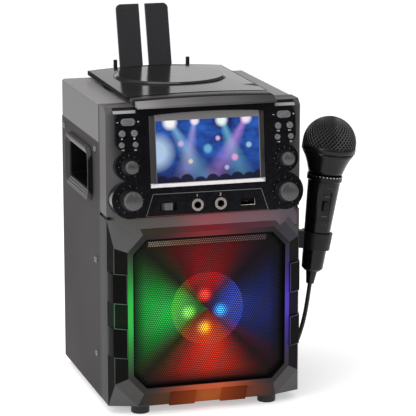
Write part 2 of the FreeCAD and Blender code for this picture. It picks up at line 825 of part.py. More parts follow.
def build_buttons():
    top = FASCIA_THICK + BUTTON_PROUD
    flange_top = -SEAT_GAP
    flange_low = flange_top - BUTTON_FLANGE_THICK
    for name, across, rise, radius in button_places():
        cap = fascia_post(radius, across, rise, flange_top, top)
        rim = [e for e in cap.Edges if abs(e.CenterOfMass.z - top) < SLIP and e.Closed]
        cap = cap.makeFillet(BUTTON_PROUD / 2, rim)
        flange = fascia_post(radius + BUTTON_FLANGE, across, rise, flange_low, flange_top)
        stem = fascia_post(BUTTON_STEM_RADIUS, across, rise, stem_end(), flange_low)
        save(name, on_fascia(fused(cap, flange, stem)))
    for name, across, rise in rocker_places():
        cap = stadium(across, rise, ROCKER_LENGTH, 2 * ROCKER_RADIUS, flange_top, top)
        size = (ROCKER_LENGTH + 2 * BUTTON_FLANGE, 2 * (ROCKER_RADIUS + BUTTON_FLANGE))
        low = flange_low - ROCKER_ROOM
        flange = stadium(across, rise, size[0], size[1], low, flange_top - ROCKER_ROOM)
        cap = fused(cap, stadium(across, rise, ROCKER_LENGTH, 2 * ROCKER_RADIUS, low, flange_top))
        stems = []
        for way in (-1, 1):
            place = across + way * ROCKER_LENGTH * ROCKER_STEM_SHARE
            stems.append(fascia_post(BUTTON_STEM_RADIUS, place, rise, stem_end(), low))
        save(name, on_fascia(fused(cap, flange, *stems)))


def build_control_boards():
    boards = []
    face = -CONTROL_SETBACK
    half = TACT_SIZE / 2
    places = [(across, rise) for name, across, rise, radius in button_places()]
    for name, across, rise in rocker_places():
        for way in (-1, 1):
            places.append((across + way * ROCKER_LENGTH * ROCKER_STEM_SHARE, rise))
    for sign in (-1, 1):
        board = box(
            (sign * control_inner, sign * control_outer), (CONTROL_LOW, control_high), (face - PCB, face)
        )
        switches = []
        for across, rise in places:
            if across * sign > 0:
                switches.append(box(
                    (across - half, across + half), (rise - half, rise + half), (face, face + TACT_SIZE)
                ))
        boards.append(on_fascia(fused(board, *switches)))
    save("control_boards", *boards)


# Jacks, media port and function switch
def build_ports():
    jacks = []
    for sign in (-1, 1):
        across = sign * JACK_OFFSET
        nut = fascia_post(JACK_NUT, across, PORT_RISE, FASCIA_THICK, FASCIA_THICK + JACK_NUT_THICK)
        barrel = fascia_post(JACK_BARREL, across, PORT_RISE, -JACK_NUT_THICK, FASCIA_THICK)
        half = JACK_BODY / 2
        body = box(
            (across - half, across + half), (PORT_RISE - half, PORT_RISE + half), (-JACK_DEPTH - WALL, 0)
        )
        bore = fascia_post(JACK_BORE, across, PORT_RISE, -JACK_DEPTH, FASCIA_THICK + OVERRUN)
        jacks.append(on_fascia(fused(body, barrel, nut).cut(bore)))
    save("microphone_jacks", *jacks)
    half_w = MEDIA_WIDTH / 2
    half_h = MEDIA_HEIGHT / 2
    shell = box(
        (MEDIA_OFFSET - half_w, MEDIA_OFFSET + half_w),
        (PORT_RISE - half_h, PORT_RISE + half_h),
        (-MEDIA_DEPTH, FASCIA_THICK),
    )
    flange = box(
        (MEDIA_OFFSET - half_w - WALL, MEDIA_OFFSET + half_w + WALL),
        (PORT_RISE - half_h - WALL / 2, PORT_RISE + half_h + WALL / 2),
        (-WALL, 0),
    )
    inner_w = half_w - MEDIA_SHELL
    inner_h = half_h - MEDIA_SHELL
    cavity = box(
        (MEDIA_OFFSET - inner_w, MEDIA_OFFSET + inner_w),
        (PORT_RISE - inner_h, PORT_RISE + inner_h),
        (-MEDIA_DEPTH + WALL, FASCIA_THICK + OVERRUN),
    )
    tongue = box(
        (MEDIA_OFFSET - inner_w + MEDIA_SHELL, MEDIA_OFFSET + inner_w - MEDIA_SHELL),
        (PORT_RISE + inner_h - MEDIA_TONGUE - MEDIA_SHELL, PORT_RISE + inner_h - MEDIA_SHELL),
        (-MEDIA_DEPTH + WALL / 2, 0),
    )
    save("media_port", on_fascia(fused(fused(shell, flange).cut(cavity), tongue)))
    top = -FUNCTION_BASE_THICK - 2 * SLIP
    half_w = FUNCTION_BODY_WIDTH / 2
    half_h = FUNCTION_BODY_HEIGHT / 2
    switch = box(
        (-FUNCTION_OFFSET - half_w, -FUNCTION_OFFSET + half_w),
        (PORT_RISE - half_h, PORT_RISE + half_h),
        (top - FUNCTION_BODY_DEPTH, top),
    )
    save("function_switch", on_fascia(switch))
    nub_h = FUNCTION_SLOT_HEIGHT / 2 - SLIP
    nub_w = FUNCTION_NUB_WIDTH / 2
    nub = box(
        (-FUNCTION_OFFSET - nub_w, -FUNCTION_OFFSET + nub_w),
        (PORT_RISE - nub_h, PORT_RISE + nub_h),
        (-SLIP - FUNCTION_BASE_THICK, FASCIA_THICK + FUNCTION_NUB_PROUD),
    )
    base = box(
        (-FUNCTION_OFFSET - nub_w - FUNCTION_BASE_MARGIN, -FUNCTION_OFFSET + nub_w + FUNCTION_BASE_MARGIN),
        (PORT_RISE - half_h + FUNCTION_BOSS_RADIUS, PORT_RISE + half_h - FUNCTION_BOSS_RADIUS),
        (-SLIP - FUNCTION_BASE_THICK, -SLIP),
    )
    save("function_slider", on_fascia(fused(nub, base)))


# Lower bezel, grille and light cluster
def eight_sided(half, low, high, cut, y):
    cut_z = cut * CUT_SLOPE_SHARE
    right = [V(half - cut, y, low), V(half, y, low + cut_z), V(half, y, high - cut_z), V(half - cut, y, high)]
    left = [V(-p.x, y, p.z) for p in reversed(right)]
    return right + left


edge_half = half_width - EDGE_INSET
edge_low = base_z + EDGE_LIFT
edge_high = bezel_high_z - EDGE_DROP
edge_y = corner_y - EDGE_STEP
ridge_half = edge_half - RIDGE_INSET
ridge_low = edge_low + RIDGE_LIFT
ridge_high = edge_high - RIDGE_DROP
ridge_y = edge_y - RIDGE_STEP
land_half = ridge_half - LAND_INSET
land_low = ridge_low + LAND_LIFT
land_high = ridge_high - LAND_DROP
land_y = ridge_y - LAND_STEP
grille_y = land_y + GRILLE_SETBACK
ring_centre_z = (land_low + land_high) / 2


def land_outline(y, margin):
    return eight_sided(land_half + margin, land_low - margin, land_high + margin, LAND_CUT, y)


def raised_pad(first, middle, last):
    """Corner points of a pad on a bent pair of faces: from first over the bend to last."""
    def outward(a, b):
        run = b - a
        normal = V(-run.y, run.x, 0)
        normal.normalize()
        return normal

    inside = (first + last) * 0.5
    n1 = outward(first, middle)
    n2 = outward(middle, last)
    if n1.dot(middle - inside) < 0:
        n1 = n1 * -1
        n2 = n2 * -1
    corner = middle + (n1 + n2) * (PAD_LIFT / (1 + n1.dot(n2)))
    return [first, corner, last + n2 * PAD_LIFT, last, inside]


def bezel_pads():
    pads = []
    side = raised_pad(V(half_width, corner_y, 0), V(edge_half, edge_y, 0), V(ridge_half, ridge_y, 0))
    for rise in SIDE_PAD_RISES:
        points = [V(p.x, p.y, base_z + rise) for p in side]
        pad = prism(points, V(0, 0, PAD_LENGTH))
        pads += [pad, mirrored(pad)]
    low = raised_pad(V(corner_y, base_z, 0), V(edge_y, edge_low, 0), V(ridge_y, ridge_low, 0))
    points = [V(BOTTOM_PAD_OFFSET, p.x, p.y) for p in low]
    pad = prism(points, V(BOTTOM_PAD_LENGTH, 0, 0))
    return pads + [pad, mirrored(pad)]


def corner_to_edge():
    """Flat-faced transition from the square front of the bezel to the ring's eight-sided edge."""
    square = [
        V(half_width, corner_y, base_z),
        V(half_width, corner_y, base_z),
        V(half_width, corner_y, bezel_high_z),
        V(half_width, corner_y, bezel_high_z),
    ]
    square += [V(-p.x, p.y, p.z) for p in reversed(square)]
    edge = eight_sided(edge_half, edge_low, edge_high, EDGE_CUT, edge_y)
    faces = [polygon([square[0], square[2], square[4], square[6]]), polygon(edge)]
    for i in range(len(edge)):
        j = (i + 1) % len(edge)
        corners = [square[i], edge[i], edge[j]]
        if (square[i] - square[j]).Length > RUNNING_FIT:
            corners = [square[i], square[j], edge[j], edge[i]]
        faces.append(polygon(corners))
    return Part.makeSolid(Part.makeShell(faces))


def seam_tongue():
    """A lip that stands up from the bezel and carries the head's lower rim."""
    outer = inset(head_outline(ridge_high, 2 * WALL), TONGUE_INSET)
    inner = inset(head_outline(ridge_high, 3 * WALL), WALL)
    run = V(0, 0, head_low_z - ridge_high)
    lip = outer.extrude(run).cut(inner.extrude(run))
    return lip.cut(box((-far, far), (carcass_y, far), (-far, far)))


def build_bezel():
    block = box((-half_width, half_width), (corner_y, carcass_y), (base_z, bezel_high_z))
    edge = eight_sided(edge_half, edge_low, edge_high, EDGE_CUT, edge_y)
    ridge = eight_sided(ridge_half, ridge_low, ridge_high, RIDGE_CUT, ridge_y)
    land = land_outline(land_y, 0)
    body = fused(
        block,
        corner_to_edge(),
        stacked([edge, ridge]),
        stacked([ridge, land]),
        seam_tongue(),
        *bezel_pads(),
    )
    pocket = box(
        (-half_width + WALL, half_width - WALL),
        (corner_y + WALL, carcass_y + OVERRUN),
        (base_z + WALL, bezel_high_z - WALL),
    )
    sleeve = prism(land_outline(grille_y, WALL - GRILLE_LEDGE), V(0, carcass_y - grille_y, 0))
    mouth = prism(land_outline(land_y - OVERRUN, 0), V(0, grille_y - land_y + OVERRUN, 0))
    tunnel = prism(land_outline(land_y, -GRILLE_LEDGE), V(0, carcass_y - land_y + OVERRUN, 0))
    body = body.cut([pocket.cut(sleeve), mouth, tunnel])
    save("speaker_bezel", body)
    sheet = prism(land_outline(grille_y - GRILLE_THICK, -SLIP), V(0, GRILLE_THICK, 0))
    save("speaker_grille", sheet)


def build_lights():
    y = grille_y + LIGHT_SETBACK
    half = land_half - GRILLE_LEDGE - SEAT_GAP
    low = land_low + GRILLE_LEDGE + SEAT_GAP
    high = land_high - GRILLE_LEDGE - SEAT_GAP
    width = LIGHT_BAR_WIDTH / 2
    bar = box((-half, half), (y, y + LIGHT_BAR_THICK), (ring_centre_z - width, ring_centre_z + width))
    mast = box((-width, width), (y, y + LIGHT_BAR_THICK), (low, high))
    centre = V(0, y, ring_centre_z)
    disc = rod(LIGHT_DISC_RADIUS, centre, centre + V(0, LIGHT_DISC_THICK, 0))
    save("light_carrier", fused(bar, mast, disc))
    bulbs = []
    cluster = centre - V(0, 0, BULB_DROP)
    for quarter in range(4):
        angle = math.radians(90 * quarter)
        foot = cluster + V(math.cos(angle) * BULB_CIRCLE, 0, math.sin(angle) * BULB_CIRCLE)
        tip = foot - V(0, BULB_LENGTH - BULB_RADIUS / 2, 0)
        neck = rod(BULB_RADIUS, foot, tip)
        cap = Part.makeSphere(BULB_RADIUS, tip)
        cap = cap.common(rod(BULB_RADIUS, foot, tip - V(0, BULB_RADIUS / 2, 0)))
        bulbs.append(fused(neck, cap))
    save("light_bulbs", *bulbs)


def build_speaker():
    seat_y = carcass_y
    place = FreeCAD.Placement(V(0, seat_y, ring_centre_z), FreeCAD.Rotation(X_AXIS, 90))

    def stand(shape):
        """Drawn about Z with the front upwards, then laid down to face forwards."""
        shape.Placement = place
        return shape

    throat = MAGNET_RADIUS * MAGNET_THROAT_SHARE
    frame = turned([
        (cone_radius + 2 * SURROUND_RADIUS - WALL, SPEAKER_FLANGE),
        (SPEAKER_RADIUS, SPEAKER_FLANGE),
        (SPEAKER_RADIUS, 0),
        (basket_radius, 0),
        (throat + BASKET_WALL, -BASKET_DEPTH),
        (throat - BASKET_WALL, -BASKET_DEPTH),
        (basket_radius - BASKET_WALL, 0),
    ])
    magnet = turned([
        (0, -BASKET_DEPTH),
        (MAGNET_RADIUS, -BASKET_DEPTH),
        (MAGNET_RADIUS, -BASKET_DEPTH - MAGNET_DEPTH),
        (0, -BASKET_DEPTH - MAGNET_DEPTH),
    ])
    save("speaker_basket", stand(fused(frame, magnet)))
    top = SPEAKER_FLANGE
    outer = cone_radius + 2 * SURROUND_RADIUS
    cone = turned([
        (outer, top),
        (outer, top + CONE_WALL),
        (cone_radius + SURROUND_RADIUS, top + SURROUND_RADIUS),
        (cone_radius, top + CONE_WALL),
        (DUST_CAP_RADIUS, top + CONE_WALL - CONE_DEPTH),
        (DUST_CAP_RADIUS * DUST_CAP_STEP_SHARE, top + CONE_WALL * 4 - CONE_DEPTH),
        (0, top + CONE_WALL * 5 - CONE_DEPTH),
        (0, top + CONE_WALL * 4 - CONE_DEPTH),
        (DUST_CAP_RADIUS * DUST_CAP_STEP_SHARE, top + CONE_WALL * 3 - CONE_DEPTH),
        (DUST_CAP_RADIUS, top - CONE_DEPTH),
        (cone_radius, top),
        (cone_radius + SURROUND_RADIUS, top + SURROUND_RADIUS - CONE_WALL),
        (outer - CONE_WALL, top),
    ])
    save("speaker_cone", stand(cone))
    board = box(
        (-inner_half, inner_half), (carcass_y, carcass_y + BOARD), (floor_z, seam_z)
    )
    hole = rod(speaker_hole_radius, V(0, carcass_y - OVERRUN, ring_centre_z), V(0, far, ring_centre_z))
    save("baffle", board.cut(hole))


# Cabinet boards, handles, screws and feet
def handle_outline(margin, x):
    """The handle's outline, its round corners in short flats, grown evenly by a margin."""
    radius = HANDLE_CORNER_RADIUS + margin
    reach_y = HANDLE_WIDTH / 2 - HANDLE_CORNER_RADIUS
    reach_z = HANDLE_HEIGHT / 2 - HANDLE_CORNER_RADIUS
    centre_z = deck_z - HANDLE_DROP
    points = []
    for quarter, (way_y, way_z) in enumerate(((1, 1), (-1, 1), (-1, -1), (1, -1))):
        for k in range(HANDLE_CORNER_FLATS + 1):
            angle = math.pi / 2 * (quarter + k / HANDLE_CORNER_FLATS)
            y = handle_centre + way_y * reach_y + radius * math.cos(angle)
            z = centre_z + way_z * reach_z + radius * math.sin(angle)
            points.append(V(x, y, z))
    return points


def screw_places(middle_rise):
    """Places of one panel's four screws as (y, z)."""
    return [
        (back_y - SCREW_INSET_BACK, band_z - SCREW_INSET_TOP),
        (carcass_y + SCREW_INSET_FRONT, band_z - SCREW_INSET_TOP),
        (carcass_y + SCREW_INSET_FRONT, base_z + middle_rise),
        (carcass_y + SCREW_INSET_FRONT, base_z + SCREW_LOW_RISE),
    ]


def build_sides():
    outer = half_width
    proud = outer + HANDLE_PROUD
    hole = -HANDLE_RIM - HANDLE_FUNNEL
    frame = stacked([handle_outline(0, outer), handle_outline(-HANDLE_DRAFT, proud)])
    cup = prism(handle_outline(hole + HANDLE_WALL, outer - HANDLE_DEPTH), V(HANDLE_DEPTH, 0, 0))
    funnel = stacked([
        handle_outline(hole, outer - HANDLE_DEPTH + HANDLE_WALL),
        handle_outline(hole, outer),
        handle_outline(-HANDLE_DRAFT - HANDLE_RIM, proud),
        handle_outline(-HANDLE_DRAFT - HANDLE_RIM, proud + OVERRUN),
    ])
    pocket = fused(frame, cup).cut(funnel)
    panel = box((inner_half, outer), (carcass_y + SEAM_GROOVE, back_y), (base_z, band_z))
    cut_out = prism(handle_outline(hole + HANDLE_WALL + SLIP, inner_half - OVERRUN), V(BOARD + 2 * OVERRUN, 0, 0))
    panel = panel.cut(cut_out)
    screws = []
    panels = []
    for middle_rise in (SCREW_RIGHT_RISE, SCREW_MIDDLE_RISE):
        holes = []
        for y, z in screw_places(middle_rise):
            head = Part.makeCone(
                SCREW_HEAD_RADIUS, SCREW_HEAD_RADIUS * SCREW_CROWN_SHARE, SCREW_HEAD_THICK, V(outer, y, z), X_AXIS
            )
            shank = rod(SCREW_SHANK_RADIUS, V(outer - SCREW_SHANK_LENGTH, y, z), V(outer, y, z))
            screws.append(fused(head, shank))
            deep = outer - SCREW_SHANK_LENGTH - SLIP
            holes.append(rod(SCREW_SHANK_RADIUS + RUNNING_FIT, V(deep, y, z), V(outer + OVERRUN, y, z)))
        panels.append(panel.cut(holes))
    save("side_panel_right", panels[0])
    save("side_panel_left", mirrored(panels[1]))
    save("handle_cup_right", pocket)
    save("handle_cup_left", mirrored(pocket))
    count = len(screws) // 2
    save("panel_screws", *(screws[:count] + [mirrored(s) for s in screws[count:]]))


def build_floor_and_feet():
    board = box((-inner_half, inner_half), (carcass_y, back_y), (base_z, floor_z))
    middle_y = (carcass_y + back_y) / 2
    reach_x = MAIN_BOARD_WIDTH / 2 - SPACER_INSET
    reach_y = MAIN_BOARD_DEPTH / 2 - SPACER_INSET
    spacers = []
    for sx in (-1, 1):
        for sy in (-1, 1):
            foot = V(sx * reach_x, middle_y + sy * reach_y, floor_z)
            spacers.append(rod(SPACER_RADIUS, foot, foot + V(0, 0, SPACER_HEIGHT)))
    save("bottom_panel", fused(board, *spacers))
    low = floor_z + SPACER_HEIGHT
    left = -MAIN_BOARD_WIDTH / 2
    front = middle_y - MAIN_BOARD_DEPTH / 2
    pcb = box((left, -left), (front, front + MAIN_BOARD_DEPTH), (low, low + PCB))
    modules = []
    for width, place in zip(MODULE_WIDTH_SHARES, MODULE_PLACE_SHARES):
        x0 = left + place * MAIN_BOARD_WIDTH
        y0 = front + SPACER_INSET
        modules.append(box(
            (x0, x0 + width * MAIN_BOARD_WIDTH),
            (y0, y0 + MODULE_DEPTH_SHARE * MAIN_BOARD_DEPTH),
            (low + PCB, low + PCB + MODULE_HEIGHT),
        ))
    save("main_board", fused(pcb, *modules))
    feet = []
    for sx in (-1, 1):
        for y in (corner_y + FOOT_INSET_FRONT, back_y - FOOT_INSET_BACK):
            foot = V(sx * (half_width - FOOT_INSET_SIDE), y, 0)
            feet.append(rod(FOOT_RADIUS, foot, foot + V(0, 0, FOOT_HEIGHT)))
    save("feet", *feet)


def build_back():
    inside = back_y - BOARD
    panel = box((-inner_half, inner_half), (inside, back_y), (floor_z, band_z))
    level = base_z + SOCKET_RISE
    sockets = []
    cuts = []
    for place in (-1, 0, 1):
        x = place * SOCKET_PITCH
        half = SOCKET_BODY / 2
        body = box((x - half, x + half), (inside - SOCKET_BODY_DEPTH, inside), (level - half, level + half))
        neck = rod(SOCKET_NECK, V(x, inside - WALL, level), V(x, back_y, level))
        barrel = rod(SOCKET_BARREL, V(x, back_y, level), V(x, back_y + SOCKET_PROUD, level))
        bore = rod(SOCKET_BORE, V(x, inside, level), V(x, far, level))
        sockets.append(fused(body, neck, barrel).cut(bore))
        cuts.append(rod(SOCKET_NECK + SLIP, V(x, inside - OVERRUN, level), V(x, far, level)))
    x = -2 * SOCKET_PITCH - INLET_BARREL
    half = SOCKET_BODY / 2
    body = box((x - half, x + half), (inside - SOCKET_BODY_DEPTH, inside), (level - half, level + half))
    barrel = rod(INLET_BARREL, V(x, inside - WALL, level), V(x, back_y, level))
    bore = rod(INLET_BORE, V(x, back_y - INLET_DEPTH, level), V(x, far, level))
    pin = rod(INLET_PIN, V(x, back_y - INLET_DEPTH - WALL, level), V(x, back_y - SLIP, level))
    sockets.append(fused(fused(body, barrel).cut(bore), pin))
    save("rear_sockets", *sockets)
    cuts.append(rod(INLET_BARREL + SLIP, V(x, inside - OVERRUN, level), V(x, far, level)))
    x = ROCKER_SWITCH_OFFSET
    axis_y = back_y - ROCKER_SWITCH_SINK
    half = ROCKER_SWITCH_WIDTH / 2
    disc = rod(ROCKER_SWITCH_RADIUS, V(x - half, axis_y, level), V(x + half, axis_y, level))
    wedge = []
    for way in (-1, 1):
        angle = math.radians(way * ROCKER_SWITCH_SPAN)
        wedge.append(V(x - half, axis_y + far * math.cos(angle), level + far * math.sin(angle)))
    front = prism([V(x - half, axis_y, level)] + wedge, V(ROCKER_SWITCH_WIDTH, 0, 0))
    hub = rod(2 * TRUNNION_RADIUS, V(x - half, axis_y, level), V(x + half, axis_y, level))
    reach = half + TRUNNION_LENGTH
    trunnion = rod(TRUNNION_RADIUS, V(x - reach, axis_y, level), V(x + reach, axis_y, level))
    save("power_rocker", fused(disc.common(front), hub, trunnion))
    room = half + ROCKER_SWITCH_ROOM
    tall = ROCKER_SWITCH_RADIUS + ROCKER_SWITCH_ROOM
    cuts.append(box((x - room, x + room), (inside - OVERRUN, far), (level - tall, level + tall)))
    cuts.append(rod(
        TRUNNION_RADIUS + RUNNING_FIT,
        V(x - reach - SLIP, axis_y, level),
        V(x + reach + SLIP, axis_y, level),
    ))
    save("back_panel", panel.cut(cuts))


# Top cover, disc well, lid and tablet rest
hinge_y = back_y - HINGE_INSET
hinge_z = deck_z + HINGE_RISE
lid_low_z = deck_z + LID_GAP
lid_back_y = hinge_y - KNUCKLE_RADIUS - KNUCKLE_GAP
rest_y = back_y + REST_SETBACK
rest_z = deck_z - REST_DROP - REST_KNUCKLE_RADIUS


def knuckle_spans():
    """Spans along X of the lid's two knuckles."""
    half = KNUCKLE_LENGTH / 2
    return [(sign * KNUCKLE_OFFSET - half, sign * KNUCKLE_OFFSET + half) for sign in (-1, 1)]


def deck_knuckles():
    solids = []
    for low, high in knuckle_spans():
        for start in (low - KNUCKLE_GAP - KNUCKLE_LENGTH, high + KNUCKLE_GAP):
            end = start + KNUCKLE_LENGTH
            barrel = rod(KNUCKLE_RADIUS, V(start, hinge_y, hinge_z), V(end, hinge_y, hinge_z))
            web = box(
                (start, end),
                (hinge_y - KNUCKLE_RADIUS, hinge_y + KNUCKLE_RADIUS),
                (deck_z - WALL / 2, hinge_z),
            )
            solids.append(fused(barrel, web))
    return solids


def rest_arms():
    """Two arms behind the cover, each with a peg in front of the rest's pin."""
    solids = []
    arm_top = rest_z + REST_KNUCKLE_RADIUS
    peg_y = back_y + PEG_SETBACK
    for sign in (-1, 1):
        start = sign * (REST_BARREL_HALF + KNUCKLE_GAP)
        end = start + sign * REST_ARM_WIDTH
        middle = (start + end) / 2
        peg = rod(PEG_RADIUS, V(middle, peg_y, rest_z), V(middle, peg_y, arm_top + PEG_HEIGHT))
        barrel = rod(REST_KNUCKLE_RADIUS, V(start, rest_y, rest_z), V(end, rest_y, rest_z))
        web = box(
            (start, end),
            (back_y - WALL / 2, rest_y),
            (rest_z - REST_KNUCKLE_RADIUS, arm_top),
        )
        solids.append(fused(barrel, web, peg))
    return solids


def hinge_bore(extra):
    reach = KNUCKLE_OFFSET + 2 * KNUCKLE_LENGTH
    return rod(PIN_RADIUS + extra, V(-reach, hinge_y, hinge_z), V(reach, hinge_y, hinge_z))


def rest_bore(extra):
    reach = REST_BARREL_HALF + KNUCKLE_GAP + REST_ARM_WIDTH
    return rod(PIN_RADIUS + extra, V(-reach, rest_y, rest_z), V(reach, rest_y, rest_z))


def build_top_cover():
    block = box((-half_width, half_width), (carcass_y, back_y), (band_z, deck_z))
    rounded = []
    for e in block.Edges:
        middle = e.CenterOfMass
        along_top = abs(middle.z - deck_z) < SLIP and middle.y > carcass_y + SLIP
        back_corner = abs(middle.y - back_y) < SLIP and abs(middle.x) > half_width - SLIP
        if along_top or back_corner:
            rounded.append(e)
    block = block.makeFillet(COVER_EDGE_RADIUS, rounded)
    inside = box(
        (-half_width + WALL, half_width - WALL),
        (carcass_y - OVERRUN, back_y - WALL),
        (band_z - OVERRUN, deck_z - WALL),
    )
    hole = rod(
        WELL_RADIUS + WELL_WALL + SLIP, V(0, well_centre, band_z), V(0, well_centre, deck_z + OVERRUN)
    )
    notch = box(
        (lid_half - NOTCH_WIDTH, lid_half + NOTCH_WIDTH),
        (carcass_y + NOTCH_SETBACK, carcass_y + NOTCH_SETBACK + NOTCH_LENGTH),
        (deck_z - NOTCH_DEPTH, deck_z + OVERRUN),
    )
    cover = block.cut([inside, hole, notch])
    bumpers = []
    for sign in (-1, 1):
        foot = V(sign * (lid_half - BUMPER_INSET), -lid_front + BUMPER_INSET, deck_z - WALL / 2)
        bumpers.append(rod(BUMPER_RADIUS, foot, V(foot.x, foot.y, lid_low_z - SEAT_GAP)))
    ledge = box(
        (-inner_half, inner_half), (back_y - BOARD, back_y - WALL / 2), (band_z, band_z + WALL)
    )
    cover = fused(cover, *(deck_knuckles() + rest_arms() + bumpers + [ledge]))
    save("top_cover", cover.cut([hinge_bore(RUNNING_FIT), rest_bore(RUNNING_FIT)]))
    save("hinge_pins", hinge_bore(0), rest_bore(0))


def build_well():
    low = deck_z - WELL_DEPTH - WELL_WALL
    outer = WELL_RADIUS + WELL_WALL
    cup = turned([
        (0, low),
        (outer, low),
        (outer, deck_z),
        (outer + WELL_RIM, deck_z),
        (outer + WELL_RIM, deck_z + WELL_RIM_THICK),
        (WELL_RADIUS, deck_z + WELL_RIM_THICK),
        (WELL_RADIUS, low + WELL_WALL),
        (0, low + WELL_WALL),
    ])
    slot = box(
        (-LENS_SLOT_HALF, LENS_SLOT_HALF), (-lens_slot_outer, -LENS_SLOT_INNER), (low - OVERRUN, deck_z)
    )
    hole = rod(FLOOR_HOLE_RADIUS, V(0, 0, low - OVERRUN), V(0, 0, deck_z))
    cup = cup.cut([slot, hole])
    cup.translate(V(0, well_centre, 0))
    save("disc_well", cup)


def lid_section(y, edge, crown):
    top = lid_low_z + edge
    arc = Part.Arc(V(-lid_half, y, top), V(0, y, top + crown), V(lid_half, y, top)).toShape()
    corners = [(lid_half, top), (lid_half, lid_low_z), (-lid_half, lid_low_z), (-lid_half, top)]
    rest = Part.makePolygon([V(x, y, z) for x, z in corners])
    return Part.Wire([arc] + rest.Edges)


def build_lid():
    front = lid_section(-lid_front, LID_FRONT_EDGE, LID_FRONT_CROWN)
    back = lid_section(lid_back_y, LID_BACK_EDGE, LID_BACK_CROWN)
    plate = Part.makeLoft([front, back], True, True)
    corners = [
        e for e in plate.Edges
        if abs(e.CenterOfMass.x) > lid_half - SLIP and abs(e.tangentAt(e.FirstParameter).z) > ALONG_SHARE
        and e.CenterOfMass.y < 0
    ]
    plate = plate.makeFillet(LID_CORNER_RADIUS, corners)
    length = lid_front + lid_back_y
    along = (lid_front + dome_centre) / length
    crest = lid_low_z + LID_FRONT_EDGE + LID_FRONT_CROWN
    crest += along * (LID_BACK_EDGE + LID_BACK_CROWN - LID_FRONT_EDGE - LID_FRONT_CROWN)
    rise = crest + DOME_PROUD - lid_low_z
    dome = Part.makeCone(
        dome_radius + DOME_SLOPE * rise / LID_BACK_EDGE,
        dome_radius,
        rise,
        V(0, dome_centre, lid_low_z),
    )
    room = Part.makeCylinder(dome_radius + 2 * DOME_SLOPE, rise, V(0, dome_centre, lid_low_z))
    side_room = box((-lid_half, lid_half), (-lid_front, lid_back_y), (lid_low_z, deck_z + far))
    dome = dome.common(room).common(side_room)
    pieces = [dome]
    for low, high in knuckle_spans():
        barrel = rod(KNUCKLE_RADIUS, V(low, hinge_y, hinge_z), V(high, hinge_y, hinge_z))
        tie = box(
            (low, high),
            (lid_back_y - KNUCKLE_RADIUS, hinge_y),
            (lid_low_z - KNUCKLE_GAP, hinge_z + KNUCKLE_RADIUS),
        )
        pieces.append(fused(barrel, tie))
    lid = fused(plate, *pieces)
    save("disc_lid", lid.cut(hinge_bore(RUNNING_FIT)))


def build_rest():
    barrel = rod(REST_KNUCKLE_RADIUS, V(-REST_BARREL_HALF, 0, 0), V(REST_BARREL_HALF, 0, 0))
    half_t = REST_THICK / 2
    half_w = FIN_WIDTH + FIN_GAP / 2
    web = box((-REST_BARREL_HALF, REST_BARREL_HALF), (-half_t, half_t), (0, REST_SLOT_START))
    blade = box((-half_w, half_w), (-half_t, half_t), (REST_ROOT, REST_LENGTH))
    top = [
        e for e in blade.Edges
        if abs(e.CenterOfMass.z - REST_LENGTH) < SLIP and abs(e.CenterOfMass.x) > half_w - SLIP
    ]
    blade = blade.makeFillet(FIN_CORNER_RADIUS, top)
    slot = box((-FIN_GAP / 2, FIN_GAP / 2), (-far, far), (REST_SLOT_START, far))
    rest = fused(barrel, web, blade).cut(slot)
    rest.Placement = FreeCAD.Placement(V(0, rest_y, rest_z), FreeCAD.Rotation(X_AXIS, -REST_LEAN))
    save("tablet_rest", rest.cut(rest_bore(RUNNING_FIT)))


